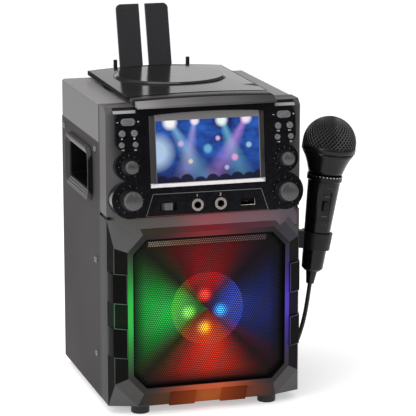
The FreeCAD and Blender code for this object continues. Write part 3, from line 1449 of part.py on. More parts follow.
# Disc drive
def build_drive():
    well_low = deck_z - WELL_DEPTH - WELL_WALL
    plate_top = well_low - CHASSIS_DROP
    plate = box(
        (-CHASSIS_HALF, CHASSIS_HALF),
        (well_centre - chassis_front, well_centre + CHASSIS_BACK),
        (plate_top - CHASSIS_THICK, plate_top),
    )
    pieces = []
    for sx in (-1, 1):
        for y in (well_centre - POST_FRONT, well_centre + POST_BACK):
            foot = V(sx * POST_OFFSET, y, plate_top - CHASSIS_THICK / 2)
            pieces.append(rod(POST_RADIUS, foot, V(foot.x, foot.y, well_low)))
        middle = sx * RAIL_OFFSET
        pieces.append(box(
            (middle - RAIL_WIDTH / 2, middle + RAIL_WIDTH / 2),
            (well_centre - chassis_front, well_centre),
            (plate_top - CHASSIS_THICK / 2, plate_top + RAIL_HEIGHT),
        ))
    save("drive_chassis", fused(plate, *pieces))
    foot = V(0, well_centre, plate_top)
    top = foot + V(0, 0, MOTOR_HEIGHT)
    bore = rod(SPINDLE_RADIUS + RUNNING_FIT, top - V(0, 0, SPINDLE_DEPTH), top + V(0, 0, OVERRUN))
    save("spindle_motor", rod(MOTOR_RADIUS, foot, top).cut(bore))
    low = deck_z - WELL_DEPTH + TURNTABLE_LIFT
    hub_top = low + TURNTABLE_THICK + HUB_HEIGHT
    hub = turned([
        (0, low),
        (TURNTABLE_RADIUS, low),
        (TURNTABLE_RADIUS, low + TURNTABLE_THICK),
        (HUB_RADIUS, low + TURNTABLE_THICK),
        (HUB_RADIUS, hub_top - HUB_BEVEL),
        (HUB_RADIUS - HUB_BEVEL, hub_top),
        (0, hub_top),
    ])
    hub.translate(V(0, well_centre, 0))
    spindle = rod(SPINDLE_RADIUS, top - V(0, 0, SPINDLE_DEPTH - SLIP), V(0, well_centre, low + TURNTABLE_THICK))
    save("turntable", fused(hub, spindle))
    sled_low = plate_top + RAIL_HEIGHT + SLIP
    outer = RAIL_OFFSET + RAIL_WIDTH / 2 + SLIP
    span_y = (well_centre - SLED_START - SLED_LENGTH / 2, well_centre - SLED_START + SLED_LENGTH / 2)
    reach = outer + SLED_SKIRT
    deck = box((-reach, reach), span_y, (sled_low, sled_low + SLED_THICK))
    skirts = []
    for sx in (-1, 1):
        skirts.append(box((sx * outer, sx * reach), span_y, (plate_top + SLIP, sled_low + SLED_THICK / 2)))
    lens_foot = V(0, well_centre - SLED_START, sled_low + SLED_THICK / 2)
    lens_top = V(lens_foot.x, lens_foot.y, sled_low + SLED_THICK + LENS_HEIGHT)
    save("laser_sled", fused(deck, rod(LENS_RADIUS, lens_foot, lens_top), *skirts))


# Microphone and clip
mic_centre = V(half_width + MIC_STANDOFF, corner_y + MIC_SETBACK, MIC_RISE)
mic_place = FreeCAD.Placement(mic_centre, FreeCAD.Rotation(Y_AXIS, MIC_LEAN))


def on_mic(shape):
    placed = shape.copy()
    placed.Placement = mic_place.multiply(placed.Placement)
    return placed


def grip_radius(s):
    return MIC_CLIP_RADIUS + MIC_TAPER_SHARE * s


def build_microphone():
    tail = grip_radius(-MIC_TAIL)
    neck = grip_radius(MIC_NECK)
    collar_low = MIC_NECK - MIC_COLLAR_HEIGHT
    body = turned([
        (0, -MIC_TAIL - RELIEF_LENGTH),
        (RELIEF_TIP_RADIUS, -MIC_TAIL - RELIEF_LENGTH),
        (RELIEF_RADIUS, -MIC_TAIL),
        (tail - MIC_TAIL_ROUND, -MIC_TAIL),
        (tail, -MIC_TAIL + MIC_TAIL_ROUND),
        (grip_radius(collar_low), collar_low),
        (neck + MIC_COLLAR_PROUD, collar_low + MIC_COLLAR_PROUD),
        (neck + MIC_COLLAR_PROUD, MIC_NECK),
        (MIC_BORE, MIC_NECK),
        (MIC_BORE, MIC_NECK - MIC_BORE_DEPTH),
        (0, MIC_NECK - MIC_BORE_DEPTH),
    ])
    flat = grip_radius(MIC_SWITCH_PLACE) - MIC_SWITCH_FLAT
    half = MIC_SWITCH_LENGTH / 2
    recess = box(
        (-MIC_SWITCH_WIDTH / 2, MIC_SWITCH_WIDTH / 2),
        (-flat - far, -flat),
        (MIC_SWITCH_PLACE - half, MIC_SWITCH_PLACE + half),
    )
    save("mic_handle", on_mic(body.cut(recess)))
    half = MIC_SLIDER_LENGTH / 2
    slider = box(
        (-MIC_SLIDER_WIDTH / 2, MIC_SLIDER_WIDTH / 2),
        (-flat - MIC_SLIDER_HEIGHT, -flat - SEAT_GAP),
        (MIC_SWITCH_PLACE - half, MIC_SWITCH_PLACE + half),
    )
    save("mic_switch", on_mic(slider))
    band_top = MIC_BAND_START + MIC_BAND_HEIGHT
    dome_r = MIC_HEAD_RADIUS
    dome_z = band_top + MIC_DOME_RISE - dome_r
    wall = MIC_MESH_WALL
    lower = [
        (neck - wall, MIC_NECK),
        (neck, MIC_NECK),
        (dome_r, MIC_BAND_START),
        (dome_r + MIC_BAND_PROUD, MIC_BAND_START),
        (dome_r + MIC_BAND_PROUD, band_top),
        (dome_r, band_top),
        (dome_r, dome_z),
        (dome_r - wall, dome_z),
        (dome_r - wall, MIC_BAND_START),
    ]
    ball = Part.makeSphere(dome_r, V(0, 0, dome_z)).cut(Part.makeSphere(dome_r - wall, V(0, 0, dome_z)))
    ball = ball.common(box((-far, far), (-far, far), (dome_z, far)))
    save("mic_grille", on_mic(fused(turned(lower), ball)))
    stem_low = CAPSULE_START - CAPSULE_STEM
    capsule = turned([
        (0, stem_low),
        (MIC_BORE - SLIP, stem_low),
        (MIC_BORE - SLIP, CAPSULE_START),
        (CAPSULE_RADIUS, CAPSULE_START),
        (CAPSULE_RADIUS, CAPSULE_START + CAPSULE_HEIGHT),
        (0, CAPSULE_START + CAPSULE_HEIGHT),
    ])
    save("mic_capsule", on_mic(capsule))


def build_clip():
    half = CLIP_HEIGHT / 2
    low_r = grip_radius(-half) + CLIP_GAP
    high_r = grip_radius(half) + CLIP_GAP
    ring = turned([
        (low_r, -half), (low_r + CLIP_WALL, -half), (high_r + CLIP_WALL, half), (high_r, half)
    ])
    side = math.radians(CLIP_MOUTH / 2)
    turn = math.radians(CLIP_MOUTH_TURN)
    corners = [V(0, 0, -far)]
    for angle in (turn - side, turn + side):
        corners.append(V(far * math.cos(angle), far * math.sin(angle), -far))
    ring = ring.cut(prism(corners, V(0, 0, 2 * far)))
    ring = on_mic(ring)
    plate_face = half_width + CLIP_PLATE_THICK
    plate_y = (mic_centre.y - CLIP_PLATE_WIDTH / 2, mic_centre.y + CLIP_PLATE_WIDTH / 2)
    plate = box((half_width, plate_face), plate_y, (MIC_RISE - CLIP_PLATE_LOW, MIC_RISE + CLIP_PLATE_HIGH))
    ends = [
        e for e in plate.Edges
        if abs(e.tangentAt(e.FirstParameter).x) > ALONG_SHARE
    ]
    plate = plate.makeFillet(CLIP_CORNER_RADIUS, ends)
    reach = MIC_STANDOFF - CLIP_PLATE_THICK / 2
    arm = box(
        (-reach, 0), (-CLIP_ARM_WIDTH / 2, CLIP_ARM_WIDTH / 2), (-half, half)
    )
    core = turned([
        (0, -half - OVERRUN),
        (low_r, -half - OVERRUN),
        (low_r, -half),
        (high_r, half),
        (high_r, half + OVERRUN),
        (0, half + OVERRUN),
    ])
    arm = on_mic(arm.cut(core))
    arm = arm.common(box((half_width, far), (-far, far), (-far, far)))
    save("mic_clip", fused(ring, plate, arm))


# Cord
def rounded_path(points):
    """Straight runs joined by the largest tangent arcs that the runs allow."""
    edges = []
    radii = []
    start = points[0]
    for before, corner, after in zip(points, points[1:], points[2:]):
        back = before - corner
        ahead = after - corner
        reach = CORD_ARC_SHARE * min(back.Length, ahead.Length)
        turn = math.pi - back.getAngle(ahead)
        radius = reach / math.tan(turn / 2)
        back.normalize()
        ahead.normalize()
        bisector = back + ahead
        bisector.normalize()
        enter = corner + back * reach
        leave = corner + ahead * reach
        middle = corner + bisector * (radius / math.cos(turn / 2) - radius)
        edges.append(Part.LineSegment(start, enter).toShape())
        edges.append(Part.Arc(enter, middle, leave).toShape())
        radii.append(radius)
        start = leave
    edges.append(Part.LineSegment(start, points[-1]).toShape())
    return Part.Wire(edges), radii


def tube(path, start, direction):
    ring = Part.Wire(Part.makeCircle(CORD_RADIUS, start, direction))
    return path.makePipeShell([ring], True, False)


def biarc(start, start_way, end, end_way):
    """Two tangent arcs between points with unit directions, as (start, middle, end) triples."""
    span = end - start
    both = start_way + end_way
    a = 2 * start_way.dot(end_way) - 2
    b = -2 * span.dot(both)
    c = span.dot(span)
    if abs(a) < 1e-9:
        reach = c / (2 * span.dot(both))
    else:
        reach = (-b - math.sqrt(b * b - 4 * a * c)) / (2 * a)
    first = start + start_way * reach
    second = end - end_way * reach
    joint = (first + second) * 0.5
    arcs = []
    for p, corner, q in ((start, first, joint), (joint, second, end)):
        back = p - corner
        ahead = q - corner
        turn = math.pi - back.getAngle(ahead)
        radius = reach / math.tan(turn / 2)
        bisector = back + ahead
        bisector.normalize()
        arcs.append((p, corner + bisector * (radius / math.cos(turn / 2) - radius), q))
    return arcs


coil_low_z = CORD_RADIUS + TIE_WALL + TIE_GAP
coil_high_z = coil_low_z + COIL_LAYER
coil_outer_radius = COIL_INNER_RADIUS + COIL_TURNS * COIL_PITCH


def coil_stations():
    """Points and directions every quarter turn: in along the lower layer, up, out along the upper."""
    quarters = round(4 * COIL_TURNS)
    step = COIL_PITCH / 4
    stations = []

    def station(quarter, radius, z, growth):
        angle = math.pi / 2 + quarter * math.pi / 2
        around = V(math.cos(angle), math.sin(angle), 0)
        way = V(-math.sin(angle), math.cos(angle), 0) + around * (growth * 2 / (math.pi * radius))
        way.normalize()
        stations.append((V(0, coil_y, z) + around * radius, way))

    for q in range(quarters + 1):
        station(q, coil_outer_radius - q * step, coil_low_z, -step if q else 0)
    station(quarters + 1, COIL_INNER_RADIUS - step, (coil_low_z + coil_high_z) / 2, 0)
    for q in range(quarters + 1):
        growth = step if q < quarters else 0
        station(q + quarters + 2, COIL_INNER_RADIUS + q * step, coil_high_z, growth)
    return stations


def least_gap(arcs):
    """The least distance between the cord's own surfaces, away from its neighbouring stretch."""
    samples = []
    for p, middle, q in arcs:
        arc = Part.Arc(p, middle, q).toShape()
        samples += arc.discretize(9)[:-1]
    skip = 3 * 8
    least = far
    for i, a in enumerate(samples):
        for b in samples[i + skip:]:
            least = min(least, (a - b).Length)
    return least - 2 * CORD_RADIUS


def build_cord():
    down = mic_place.multVec(V(0, 0, -MIC_TAIL - RELIEF_LENGTH))
    stations = coil_stations()
    first, first_way = stations[0]
    last, last_way = stations[-1]
    lead = first - first_way * (2 * CORD_RADIUS)
    below = mic_place.multVec(V(0, 0, -MIC_TAIL - RELIEF_LENGTH - CORD_EXIT))
    points = [down, below] + [V(*p) for p in CORD_POINTS] + [first - first_way * CORD_APPROACH, lead]
    path, radii = rounded_path(points)
    print("cord bend radii", [round(r, 1) for r in radii])
    hang = tube(path, points[0], points[1] - points[0])
    section = math.pi * CORD_RADIUS ** 2
    print("free stretch", round(path.Length, 1), "volume share", round(hang.Volume / (section * path.Length), 4))
    save("mic_cord_hang", hang)
    arcs = []
    for (p, p_way), (q, q_way) in zip(stations, stations[1:]):
        arcs += biarc(p, p_way, q, q_way)
    tail = last + last_way * PLUG_LEAD
    edges = [Part.LineSegment(lead, first).toShape()]
    edges += [Part.Arc(p, middle, q).toShape() for p, middle, q in arcs]
    edges.append(Part.LineSegment(last, tail).toShape())
    wind = Part.Wire(edges)
    coil = tube(wind, lead, first_way)
    print("coil length", round(wind.Length, 1), "volume share", round(coil.Volume / (section * wind.Length), 4))
    print("least gap in the coil", round(least_gap(arcs), 2))
    print("cord length", round(path.Length + wind.Length, 1))
    save("mic_cord_coil", coil)
    build_tie()
    build_plug(tail, last_way)


def build_tie():
    room = CORD_RADIUS + TIE_GAP
    inner = COIL_INNER_RADIUS - COIL_PITCH / 2 - room
    outer = coil_outer_radius + COIL_PITCH / 2 + room
    high = coil_high_z + room
    half = TIE_WIDTH / 2
    y_span = (coil_y - half, coil_y + half)
    band = box((-outer - TIE_WALL, -inner + TIE_WALL), y_span, (0, high + TIE_WALL))
    hollow = box((-outer, -inner), (coil_y - TIE_WIDTH, coil_y + TIE_WIDTH), (TIE_WALL, high))
    save("cord_tie", band.cut(hollow))


def build_plug(tail, way):
    place = FreeCAD.Placement(tail, FreeCAD.Rotation(Z_AXIS, way))
    body_end = PLUG_BOOT_LENGTH + PLUG_BODY_LENGTH
    shaft_end = body_end + PLUG_SHAFT_LENGTH
    plug = turned([
        (0, 0),
        (PLUG_BOOT_TIP_RADIUS, 0),
        (PLUG_BOOT_RADIUS, PLUG_BOOT_LENGTH),
        (PLUG_BODY_RADIUS, PLUG_BOOT_LENGTH),
        (PLUG_BODY_RADIUS, body_end),
        (PLUG_SHAFT_RADIUS, body_end),
        (PLUG_SHAFT_RADIUS, shaft_end - PLUG_TIP_LENGTH),
        (PLUG_NECK_RADIUS, shaft_end - PLUG_TIP_LENGTH * PLUG_NECK_SHARE),
        (PLUG_SHAFT_RADIUS, shaft_end - PLUG_TIP_LENGTH / 2),
        (PLUG_NECK_RADIUS / 2, shaft_end),
        (0, shaft_end),
    ])
    plug.Placement = place
    save("mic_plug", plug)


build_head()
build_fascia()
build_screen()
build_knobs()
build_buttons()
build_control_boards()
build_ports()
build_bezel()
build_lights()
build_speaker()
build_sides()
build_floor_and_feet()
build_back()
build_top_cover()
build_well()
build_lid()
build_rest()
build_drive()
build_microphone()
build_clip()
build_cord()
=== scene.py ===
import math

import bmesh
import bpy
from mathutils import Matrix, Vector


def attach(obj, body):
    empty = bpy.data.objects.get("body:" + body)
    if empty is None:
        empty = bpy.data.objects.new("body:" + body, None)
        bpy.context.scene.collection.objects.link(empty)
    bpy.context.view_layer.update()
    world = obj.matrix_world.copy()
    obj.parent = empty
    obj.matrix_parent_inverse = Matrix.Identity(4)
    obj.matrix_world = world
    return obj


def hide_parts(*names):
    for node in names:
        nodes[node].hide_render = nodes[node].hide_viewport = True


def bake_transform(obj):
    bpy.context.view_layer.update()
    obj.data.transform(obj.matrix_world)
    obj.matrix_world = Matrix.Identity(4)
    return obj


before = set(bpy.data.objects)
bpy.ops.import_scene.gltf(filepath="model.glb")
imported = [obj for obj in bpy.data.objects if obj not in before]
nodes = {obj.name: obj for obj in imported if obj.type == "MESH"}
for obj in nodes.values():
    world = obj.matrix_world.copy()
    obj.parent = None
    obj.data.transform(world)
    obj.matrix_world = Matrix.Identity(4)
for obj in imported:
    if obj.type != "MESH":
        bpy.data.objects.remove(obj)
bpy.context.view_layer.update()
MM = 0.001

# Places that repeat the model's own sizes, in millimetres
TILT = math.radians(6.5)
NOSE_Y, SEAM_Z = -101.0, 181.3
HALF, CORNER_Y, BACK_Y = 90.0, -86.5, 86.5
BASE_Z, DECK_Z, BEZEL_TOP_Z = 8.0, 280.0, 179.8
RING_Z = 95.5
FASCIA = 3.0
KNOB_U = 71.75
SMALL_KNOB = (48.0, 5.9)
LARGE_KNOB = (18.5, 8.4)
KNOB_FLARE, KNOB_SKIRT, KNOB_HEIGHT, KNOB_LIFT, KNOB_DOME = 2.2, 5.0, 13.0, 0.6, 1.6
ROCKER_V, ROCKER_TOP = 87.2, 4.6
PORT_V, JACK_U, MEDIA_U, FUNCTION_U = 10.8, 10.7, 36.0, -37.5
HANDLE_Y, HANDLE_Z, HANDLE_RISE, HANDLE_HALF, HANDLE_FACE = 11.7, 210.4, 25.5, 48.5, 94.5
LID_HALF, LID_FRONT, LID_BACK, LID_LOW_Z = 66.0, -66.0, 80.5, 283.0
MIC_CENTRE = Vector((116.7, -57.0, 141.6))
MIC_LEAN = math.radians(7.6)
MIC_NECK, MIC_NECK_RADIUS, MIC_HEAD_RADIUS = 62.0, 15.42, 24.4
BAND_LOW, BAND_HIGH, BAND_RADIUS, DOME_Z = 84.0, 89.0, 24.9, 91.6
GRIP_RADIUS, GRIP_TAPER = 11.7, 0.06
SIDES = (("left", -1), ("right", 1))

fascia_matrix = Matrix((
    (1, 0, 0, 0),
    (0, math.sin(TILT), -math.cos(TILT), NOSE_Y),
    (0, math.cos(TILT), math.sin(TILT), SEAM_Z),
    (0, 0, 0, 1),
))
mic_matrix = Matrix.Translation(MIC_CENTRE) @ Matrix.Rotation(MIC_LEAN, 4, "Y")

# Node trees, with short names for the nodes that the paints and the room use
PAINTS = {}
GRAIN_DEPTH, VINYL_DEPTH, FLECK_DEPTH = 0.00005, 0.00016, 0.0001
SOCKETS = {
    "base": "Base Color", "rough": "Roughness", "glow": "Emission Color", "level": "Emission Strength",
    "specular": "Specular IOR Level", "metal": "Metallic", "normal": "Normal",
}


def colour(value):
    """A number is a grey with a slight tint, three numbers are a colour, and a socket stays."""
    if isinstance(value, bpy.types.NodeSocket):
        return value
    if isinstance(value, tuple):
        return value + (1,)
    return (value, value * 0.955, value * 0.975, 1)


class Nodes:
    def __init__(self, tree):
        self.tree = tree

    def feed(self, node, values):
        """Inputs given as values, or as sockets to link."""
        for key, value in values.items():
            if isinstance(value, bpy.types.NodeSocket):
                self.tree.links.new(value, node.inputs[key])
            else:
                node.inputs[key].default_value = value

    def add(self, kind, values=None, **settings):
        node = self.tree.nodes.new("ShaderNode" + kind)
        for key, value in settings.items():
            setattr(node, key, value)
        self.feed(node, values or {})
        return node

    def math(self, operation, *values):
        return self.add("Math", dict(enumerate(values)), operation=operation).outputs[0]

    def times(self, first, *others):
        for other in others:
            first = self.math("MULTIPLY", first, other)
        return first

    def most(self, first, *others):
        for other in others:
            first = self.math("MAXIMUM", first, other)
        return first

    def size(self, value):
        return self.math("ABSOLUTE", value)

    def split(self, vector):
        return self.add("SeparateXYZ", {"Vector": vector}).outputs

    def length(self, vector):
        return self.add("VectorMath", {0: vector}, operation="LENGTH").outputs["Value"]

    def spread(self, value, low, high, to_low=0, to_high=1):
        return self.add("MapRange", {
            "Value": value, "From Min": low, "From Max": high, "To Min": to_low, "To Max": to_high,
        }).outputs[0]

    def past(self, value, at, soft=0.4):
        """0 before a place in millimetres, 1 past it."""
        return self.spread(value, (at - soft / 2) * MM, (at + soft / 2) * MM)

    def before(self, value, at, soft=0.4):
        return self.spread(value, (at - soft / 2) * MM, (at + soft / 2) * MM, 1, 0)

    def mix(self, factor, a, b):
        """The colour sockets of a mix node have the places 6 and 7, and 2 in its outputs."""
        return self.add("Mix", {0: factor, 6: colour(a), 7: colour(b)}, data_type="RGBA").outputs[2]


class Paint(Nodes):
    """A material on one principled shader, painted by place on the object."""

    def __init__(self, name):
        material = bpy.data.materials.new(name)
        material.use_nodes = True
        super().__init__(material.node_tree)
        self.tree.nodes.clear()
        self.shader = self.add("BsdfPrincipled")
        self.add("OutputMaterial", {"Surface": self.shader.outputs[0]})
        self.place = self.add("TexCoord").outputs["Object"]
        PAINTS[name] = material

    def noise(self, scale, detail=2.0, rough=0.5, place=None):
        place = self.place if place is None else place
        return self.add("TexNoise", {
            "Vector": place, "Scale": scale, "Detail": detail, "Roughness": rough}).outputs["Fac"]

    def drift(self, scale, low=0, high=1, detail=3.0):
        return self.spread(self.noise(scale, detail), 0.3, 0.7, low, high)

    def ramp(self, value, stops):
        node = self.add("ValToRGB", {"Fac": value})
        ramp = node.color_ramp
        ramp.interpolation = "EASE"
        while len(ramp.elements) < len(stops):
            ramp.elements.new(0.5)
        for element, (at, tone) in zip(ramp.elements, stops):
            element.position = at
            element.color = colour(tone)
        return node.outputs["Color"]

    def across(self, x, half, stops):
        return self.ramp(self.spread(x, -half * MM, half * MM), stops)

    def relief(self, height, strength, depth):
        return self.add("Bump", {"Height": height, "Strength": strength, "Distance": depth}).outputs[0]

    def give(self, **values):
        """Inputs of the shader by their short names."""
        for key in ("base", "glow"):
            if key in values:
                values[key] = colour(values[key])
        self.feed(self.shader, {SOCKETS[key]: value for key, value in values.items()})

    def finish(self, rough, specular, grain=1300.0, bump=0.25, metal=0.0):
        """Fine grain in relief, and in gloss where that isn't given by place."""
        fine = self.noise(grain, 3.0, 0.6)
        if not isinstance(rough, bpy.types.NodeSocket):
            rough = self.spread(fine, 0.3, 0.7, rough - 0.05, rough + 0.05)
        self.give(rough=rough, normal=self.relief(fine, bump, GRAIN_DEPTH), specular=specular, metal=metal)


# Paints of the mouldings
def moulded(name, dark, light, rough, specular=0.3, metal=0.0, grain=1400.0, bump=0.25):
    """Moulded plastic, paint or metal: fine grain in the surface, slow drift in colour."""
    paint = Paint(name)
    paint.give(base=paint.mix(paint.drift(14.0), dark, light))
    paint.finish(rough, specular, grain, bump, metal)


def bezel_paint():
    """Black inside the ring and grey outer sides, with a painted red glow on the brow and a painted orange
    glow on the lower pads: light of the lamps behind the grille.
    """
    paint = Paint("bezel_paint")
    x, y, z = paint.split(paint.place)
    out = paint.size(x)
    front = paint.before(y, -88.5, 3.0)
    upper = paint.past(z, 166.5, 0.6)
    brow = paint.times(upper, front)
    low = paint.times(paint.before(z, 22.5, 2.0), front)
    pale = paint.most(brow, paint.past(out, HALF - 0.4))
    # colour of the brow's painted glow, across the ring
    red = paint.across(x, 80.0, (
        (0.0, (0.05, 0.05, 0.042)), (0.25, (0.07, 0.055, 0.048)), (0.5, (0.25, 0.05, 0.06)),
        (0.75, (0.15, 0.065, 0.085)), (1.0, (0.08, 0.06, 0.075))))
    # painted orange glow of the lamps on the lower pads
    pad_glow_level = paint.times(low, paint.spread(out, 0.01, 0.042, 0.24, 0.05))
    paint.give(
        base=paint.mix(pale, 0.0035, 0.055), glow=paint.mix(upper, (1, 0.15, 0.02), red),
        level=paint.most(pad_glow_level, paint.times(brow, 0.85)))
    paint.finish(0.42, 0.03)


def deck_paint():
    """Grey cover, with painted shade darkening it down its sides, and black arms behind it."""
    paint = Paint("deck_paint")
    x, y, z = paint.split(paint.place)
    # painted shade: the cover's sides are painted darker than its top
    side = paint.past(paint.size(x), HALF - 0.4, 0.6)
    behind = paint.past(y, BACK_Y + 0.3, 0.2)
    tone = paint.mix(side, paint.mix(paint.drift(18.0), 0.22, 0.255), 0.1)
    paint.give(base=paint.mix(behind, tone, 0.012))
    paint.finish(0.38, 0.25)


def head_paint():
    """Grey cheeks with painted shade that darkens them towards the controls, a black hood with a painted
    shadow at its back and a painted highlight on its brow, and beside it a light trim painted as a highlight
    on the ridge, with a black line above.
    """
    paint = Paint("head_paint")
    x, y, z = paint.split(paint.place)
    out = paint.size(x)
    # painted shade: the cheeks darken towards the controls, high up and near the front
    painted_shade = paint.times(paint.before(y, -86.9, 0.6), paint.past(z, 236.0, 28.0), paint.before(out, 84.0, 9.0))
    tone = paint.mix(painted_shade, 0.085, 0.004)
    # a light strip as painted highlight along the ridge at the top of the cheek, with a black groove line
    # above it
    ridge_highlight_and_groove = paint.mix(paint.past(z, DECK_Z - 2.5, 0.2), 0.34, 0.004)
    band = paint.times(
        paint.past(z, DECK_Z - 4.8, 0.2), paint.before(out, 83.9, 0.2), paint.before(y, -84.8, 0.2))
    tone = paint.mix(band, tone, ridge_highlight_and_groove)
    # painted highlight on the hood's front brow, lighter to the left
    brow = paint.across(x, 64.0, ((0.0, 0.27), (0.25, 0.15), (0.55, 0.1), (1.0, 0.05)))
    # painted shadow: black at the back of the hood along the gap to the lid, then a grey strip, a black band
    # and the brow
    cap = paint.mix(paint.past(y, -71.5, 0.6), 0.05, 0.001)
    cap = paint.mix(paint.before(y, -80.3, 0.6), cap, 0.001)
    cap = paint.mix(paint.before(y, -90.0), cap, brow)
    hood = paint.past(z, DECK_Z + 0.2, 0.2)
    paint.give(base=paint.mix(hood, tone, cap))
    paint.finish(paint.spread(hood, 0, 1, 0.38, 0.2), 0.08, bump=0.2)


def lid_paint():
    """Gloss black lid whose rim is dull and painted darker, as painted shade for the shadowed gap along its
    edge.
    """
    paint = Paint("lid_paint")
    x, y, z = paint.split(paint.place)
    # painted shade along the lid's side and front edges
    rim = paint.most(paint.past(paint.size(x), LID_HALF - 1.0), paint.before(y, LID_FRONT + 1.0))
    paint.give(base=paint.mix(rim, paint.mix(paint.drift(14.0), 0.008, 0.012), 0.002))
    paint.finish(paint.spread(rim, 0, 1, 0.13, 0.95), 0.36, 400.0, 0.03)


def handle_paint():
    """Dark grey frame, painted black in the pocket and on its upright outer ends as painted shade."""
    paint = Paint("handle_paint")
    x, y, z = paint.split(paint.place)
    # painted shade: black inside the pocket
    tone = paint.mix(paint.past(paint.size(x), HALF + 0.8), 0.003, 0.045)
    drift = paint.drift(18.0, 0.85, 1.1)
    tone = paint.add("VectorMath", {0: tone, "Scale": drift}, operation="SCALE").outputs[0]
    along = paint.size(paint.math("ADD", y, -HANDLE_Y * MM))
    # painted shade: black on the upright outer ends
    shaded_ends = paint.past(along, HANDLE_HALF - 1.6, 0.8)
    paint.give(base=paint.mix(shaded_ends, tone, 0.003))
    paint.finish(paint.spread(shaded_ends, 0, 1, 0.42, 0.95), 0.15)


def frame_paint():
    """Satin metal paint round the screen: cheeks painted dark as painted shade, and a sill painted lighter as
    a painted reflection.
    """
    paint = Paint("frame_paint")
    x, y, z = paint.split(paint.place)
    # painted shade darkens the cheeks; below, the sill is painted lighter as a painted reflection
    tone = paint.mix(paint.past(paint.size(x), 48.1, 0.6), 0.25, 0.05)
    paint.give(base=paint.mix(paint.before(z, 213.3, 1.0), tone, 0.75))
    paint.finish(0.36, 0.3, 1400.0, 0.12, 0.7)


def panel_vinyl():
    """Wrapped board: pebbled vinyl grain of about a millimetre."""
    paint = Paint("panel_vinyl")
    cells = paint.add("TexVoronoi", {"Vector": paint.place, "Scale": 900.0}).outputs["Distance"]
    coarse = paint.noise(300.0, 4.0, 0.7)
    tone = paint.times(paint.spread(coarse, 0.3, 0.7, 0.1, 0.9), paint.drift(9.0, 0.5, 1, 2.0))
    paint.give(
        base=paint.mix(tone, (0.02, 0.017, 0.019), (0.075, 0.065, 0.0715)),
        rough=paint.spread(coarse, 0.3, 0.7, 0.5, 0.68), specular=0.08,
        normal=paint.relief(paint.math("ADD", cells, coarse), 0.5, VINYL_DEPTH))


def button_grey():
    """Grey buttons with a spray-painted speckle."""
    paint = Paint("button_grey")
    fleck = paint.noise(1500.0, 4.0, 0.8)
    paint.give(
        base=paint.mix(paint.spread(fleck, 0.4, 0.58), 0.05, 0.28),
        rough=paint.spread(fleck, 0.3, 0.7, 0.3, 0.5),
        normal=paint.relief(fleck, 0.3, FLECK_DEPTH), metal=0.35)


# Lights behind the grille, and the glow they throw, painted on the surfaces round them
GREEN, BLUE, RED, ORANGE = (0.03, 0.75, 0.1), (0.02, 0.035, 0.25), (0.3, 0.006, 0.008), (1.0, 0.045, 0.015)
DISC_GREEN, DISC_BLUE = (0.2, 1.0, 0.12), (0.07, 0.12, 0.8)
DISC_RED, DISC_ORANGE = (0.75, 0.012, 0.015), (1.0, 0.09, 0.025)
BULB_Z, BULB_REACH = 90.0, 15.0
# places and colours of the lamps; the colours also tint the painted halos round them on the dish
BULBS = (
    (0.0, BULB_Z + BULB_REACH, (1, 0.07, 0.05)), (0.0, BULB_Z - BULB_REACH, (1, 0.5, 0.03)),
    (-BULB_REACH, BULB_Z, (0.3, 0.9, 0.12)), (BULB_REACH, BULB_Z, (0.06, 0.45, 1)),
)


class Glow(Paint):
    """A paint that glows by the angle round the ring's middle and the distance from it."""

    def __init__(self, name):
        super().__init__(name)
        self.x, self.y, self.z = self.split(self.place)
        self.rise = self.math("ADD", self.z, -RING_Z * MM)
        self.turn = self.math("ARCTAN2", self.x, self.rise)
        square = self.math("MULTIPLY_ADD", self.rise, self.rise, self.times(self.x, self.x))
        self.radius = self.math("SQRT", square)

    def sectors(self, left, right, top, bottom):
        """Colours that turn from side to side round the middle of the grille."""
        wheel = [(0.0, bottom), (0.08, bottom), (0.17, left), (0.32, left), (0.42, top), (0.57, top),
                 (0.67, right), (0.82, right), (0.92, bottom), (1.0, bottom)]
        return self.ramp(self.spread(self.turn, -math.pi, math.pi), wheel)

    def rays(self, low, power):
        """Bright along the upright and level lines, dark on the diagonals."""
        swing = self.size(self.math("COSINE", self.times(self.turn, 2.0)))
        return self.spread(self.math("POWER", swing, power), 0, 1, low, 1)

    def near_bulb(self, x, z, reach):
        """1 at a bulb, falling to 0 at its reach."""
        gap = self.add("CombineXYZ", {
            "X": self.math("ADD", self.x, -x * MM), "Z": self.math("ADD", self.z, -z * MM)}).outputs[0]
        return self.math("POWER", self.spread(self.length(gap), 0.0025, reach, 1, 0), 1.6)


def lit(name, base, rough, colour_of, level_of, specular=0.25):
    """A surface with its own finish that also glows by place: on the grille sheet, the sheet behind it, the
    dish and the ring this glow is painted light of the lamps behind the grille.
    """
    paint = Glow(name)
    level = paint.times(level_of(paint), paint.drift(26.0, 0.82, 1.15, 2.0))
    paint.give(base=base, glow=colour_of(paint), level=level)
    paint.finish(rough, specular, 1500.0, 0.15)


def by_sector(*sides):
    return lambda paint: paint.sectors(*sides)


def across_ring(*stops):
    return lambda paint: paint.across(paint.x, 80.0, stops)


def even(level):
    return lambda paint: paint.spread(paint.radius, 0.0, 0.2, level, level * 0.95)


def side_glow(level, power):
    """Painted glow, strongest at the middle of each side of the ring."""
    return lambda paint: paint.times(paint.rays(0.0, power), level)


def ray_level(paint):
    """Four rays of painted light that fall off away from the middle and at the edges of the grille."""
    fall = paint.spread(paint.radius, 0.033, 0.075, 1.1, 0.5)
    across = paint.spread(paint.size(paint.x), 0.058, 0.068, 1, 0.1)
    upright = paint.spread(paint.size(paint.rise), 0.056, 0.067, 1, 0.15)
    return paint.times(paint.rays(0.06, 1.35), fall, across, upright)


# painted glow of the lamps on the grille sheet
def metal_level(paint):
    return paint.times(ray_level(paint), 0.16)


def dish_colour(paint):
    tone = paint.sectors(DISC_GREEN, DISC_BLUE, DISC_RED, DISC_ORANGE)
    # painted halo of each lamp's colour round it on the dish
    for x, z, tint in BULBS:
        tone = paint.mix(paint.near_bulb(x, z, 0.011), tone, tint)
    return tone


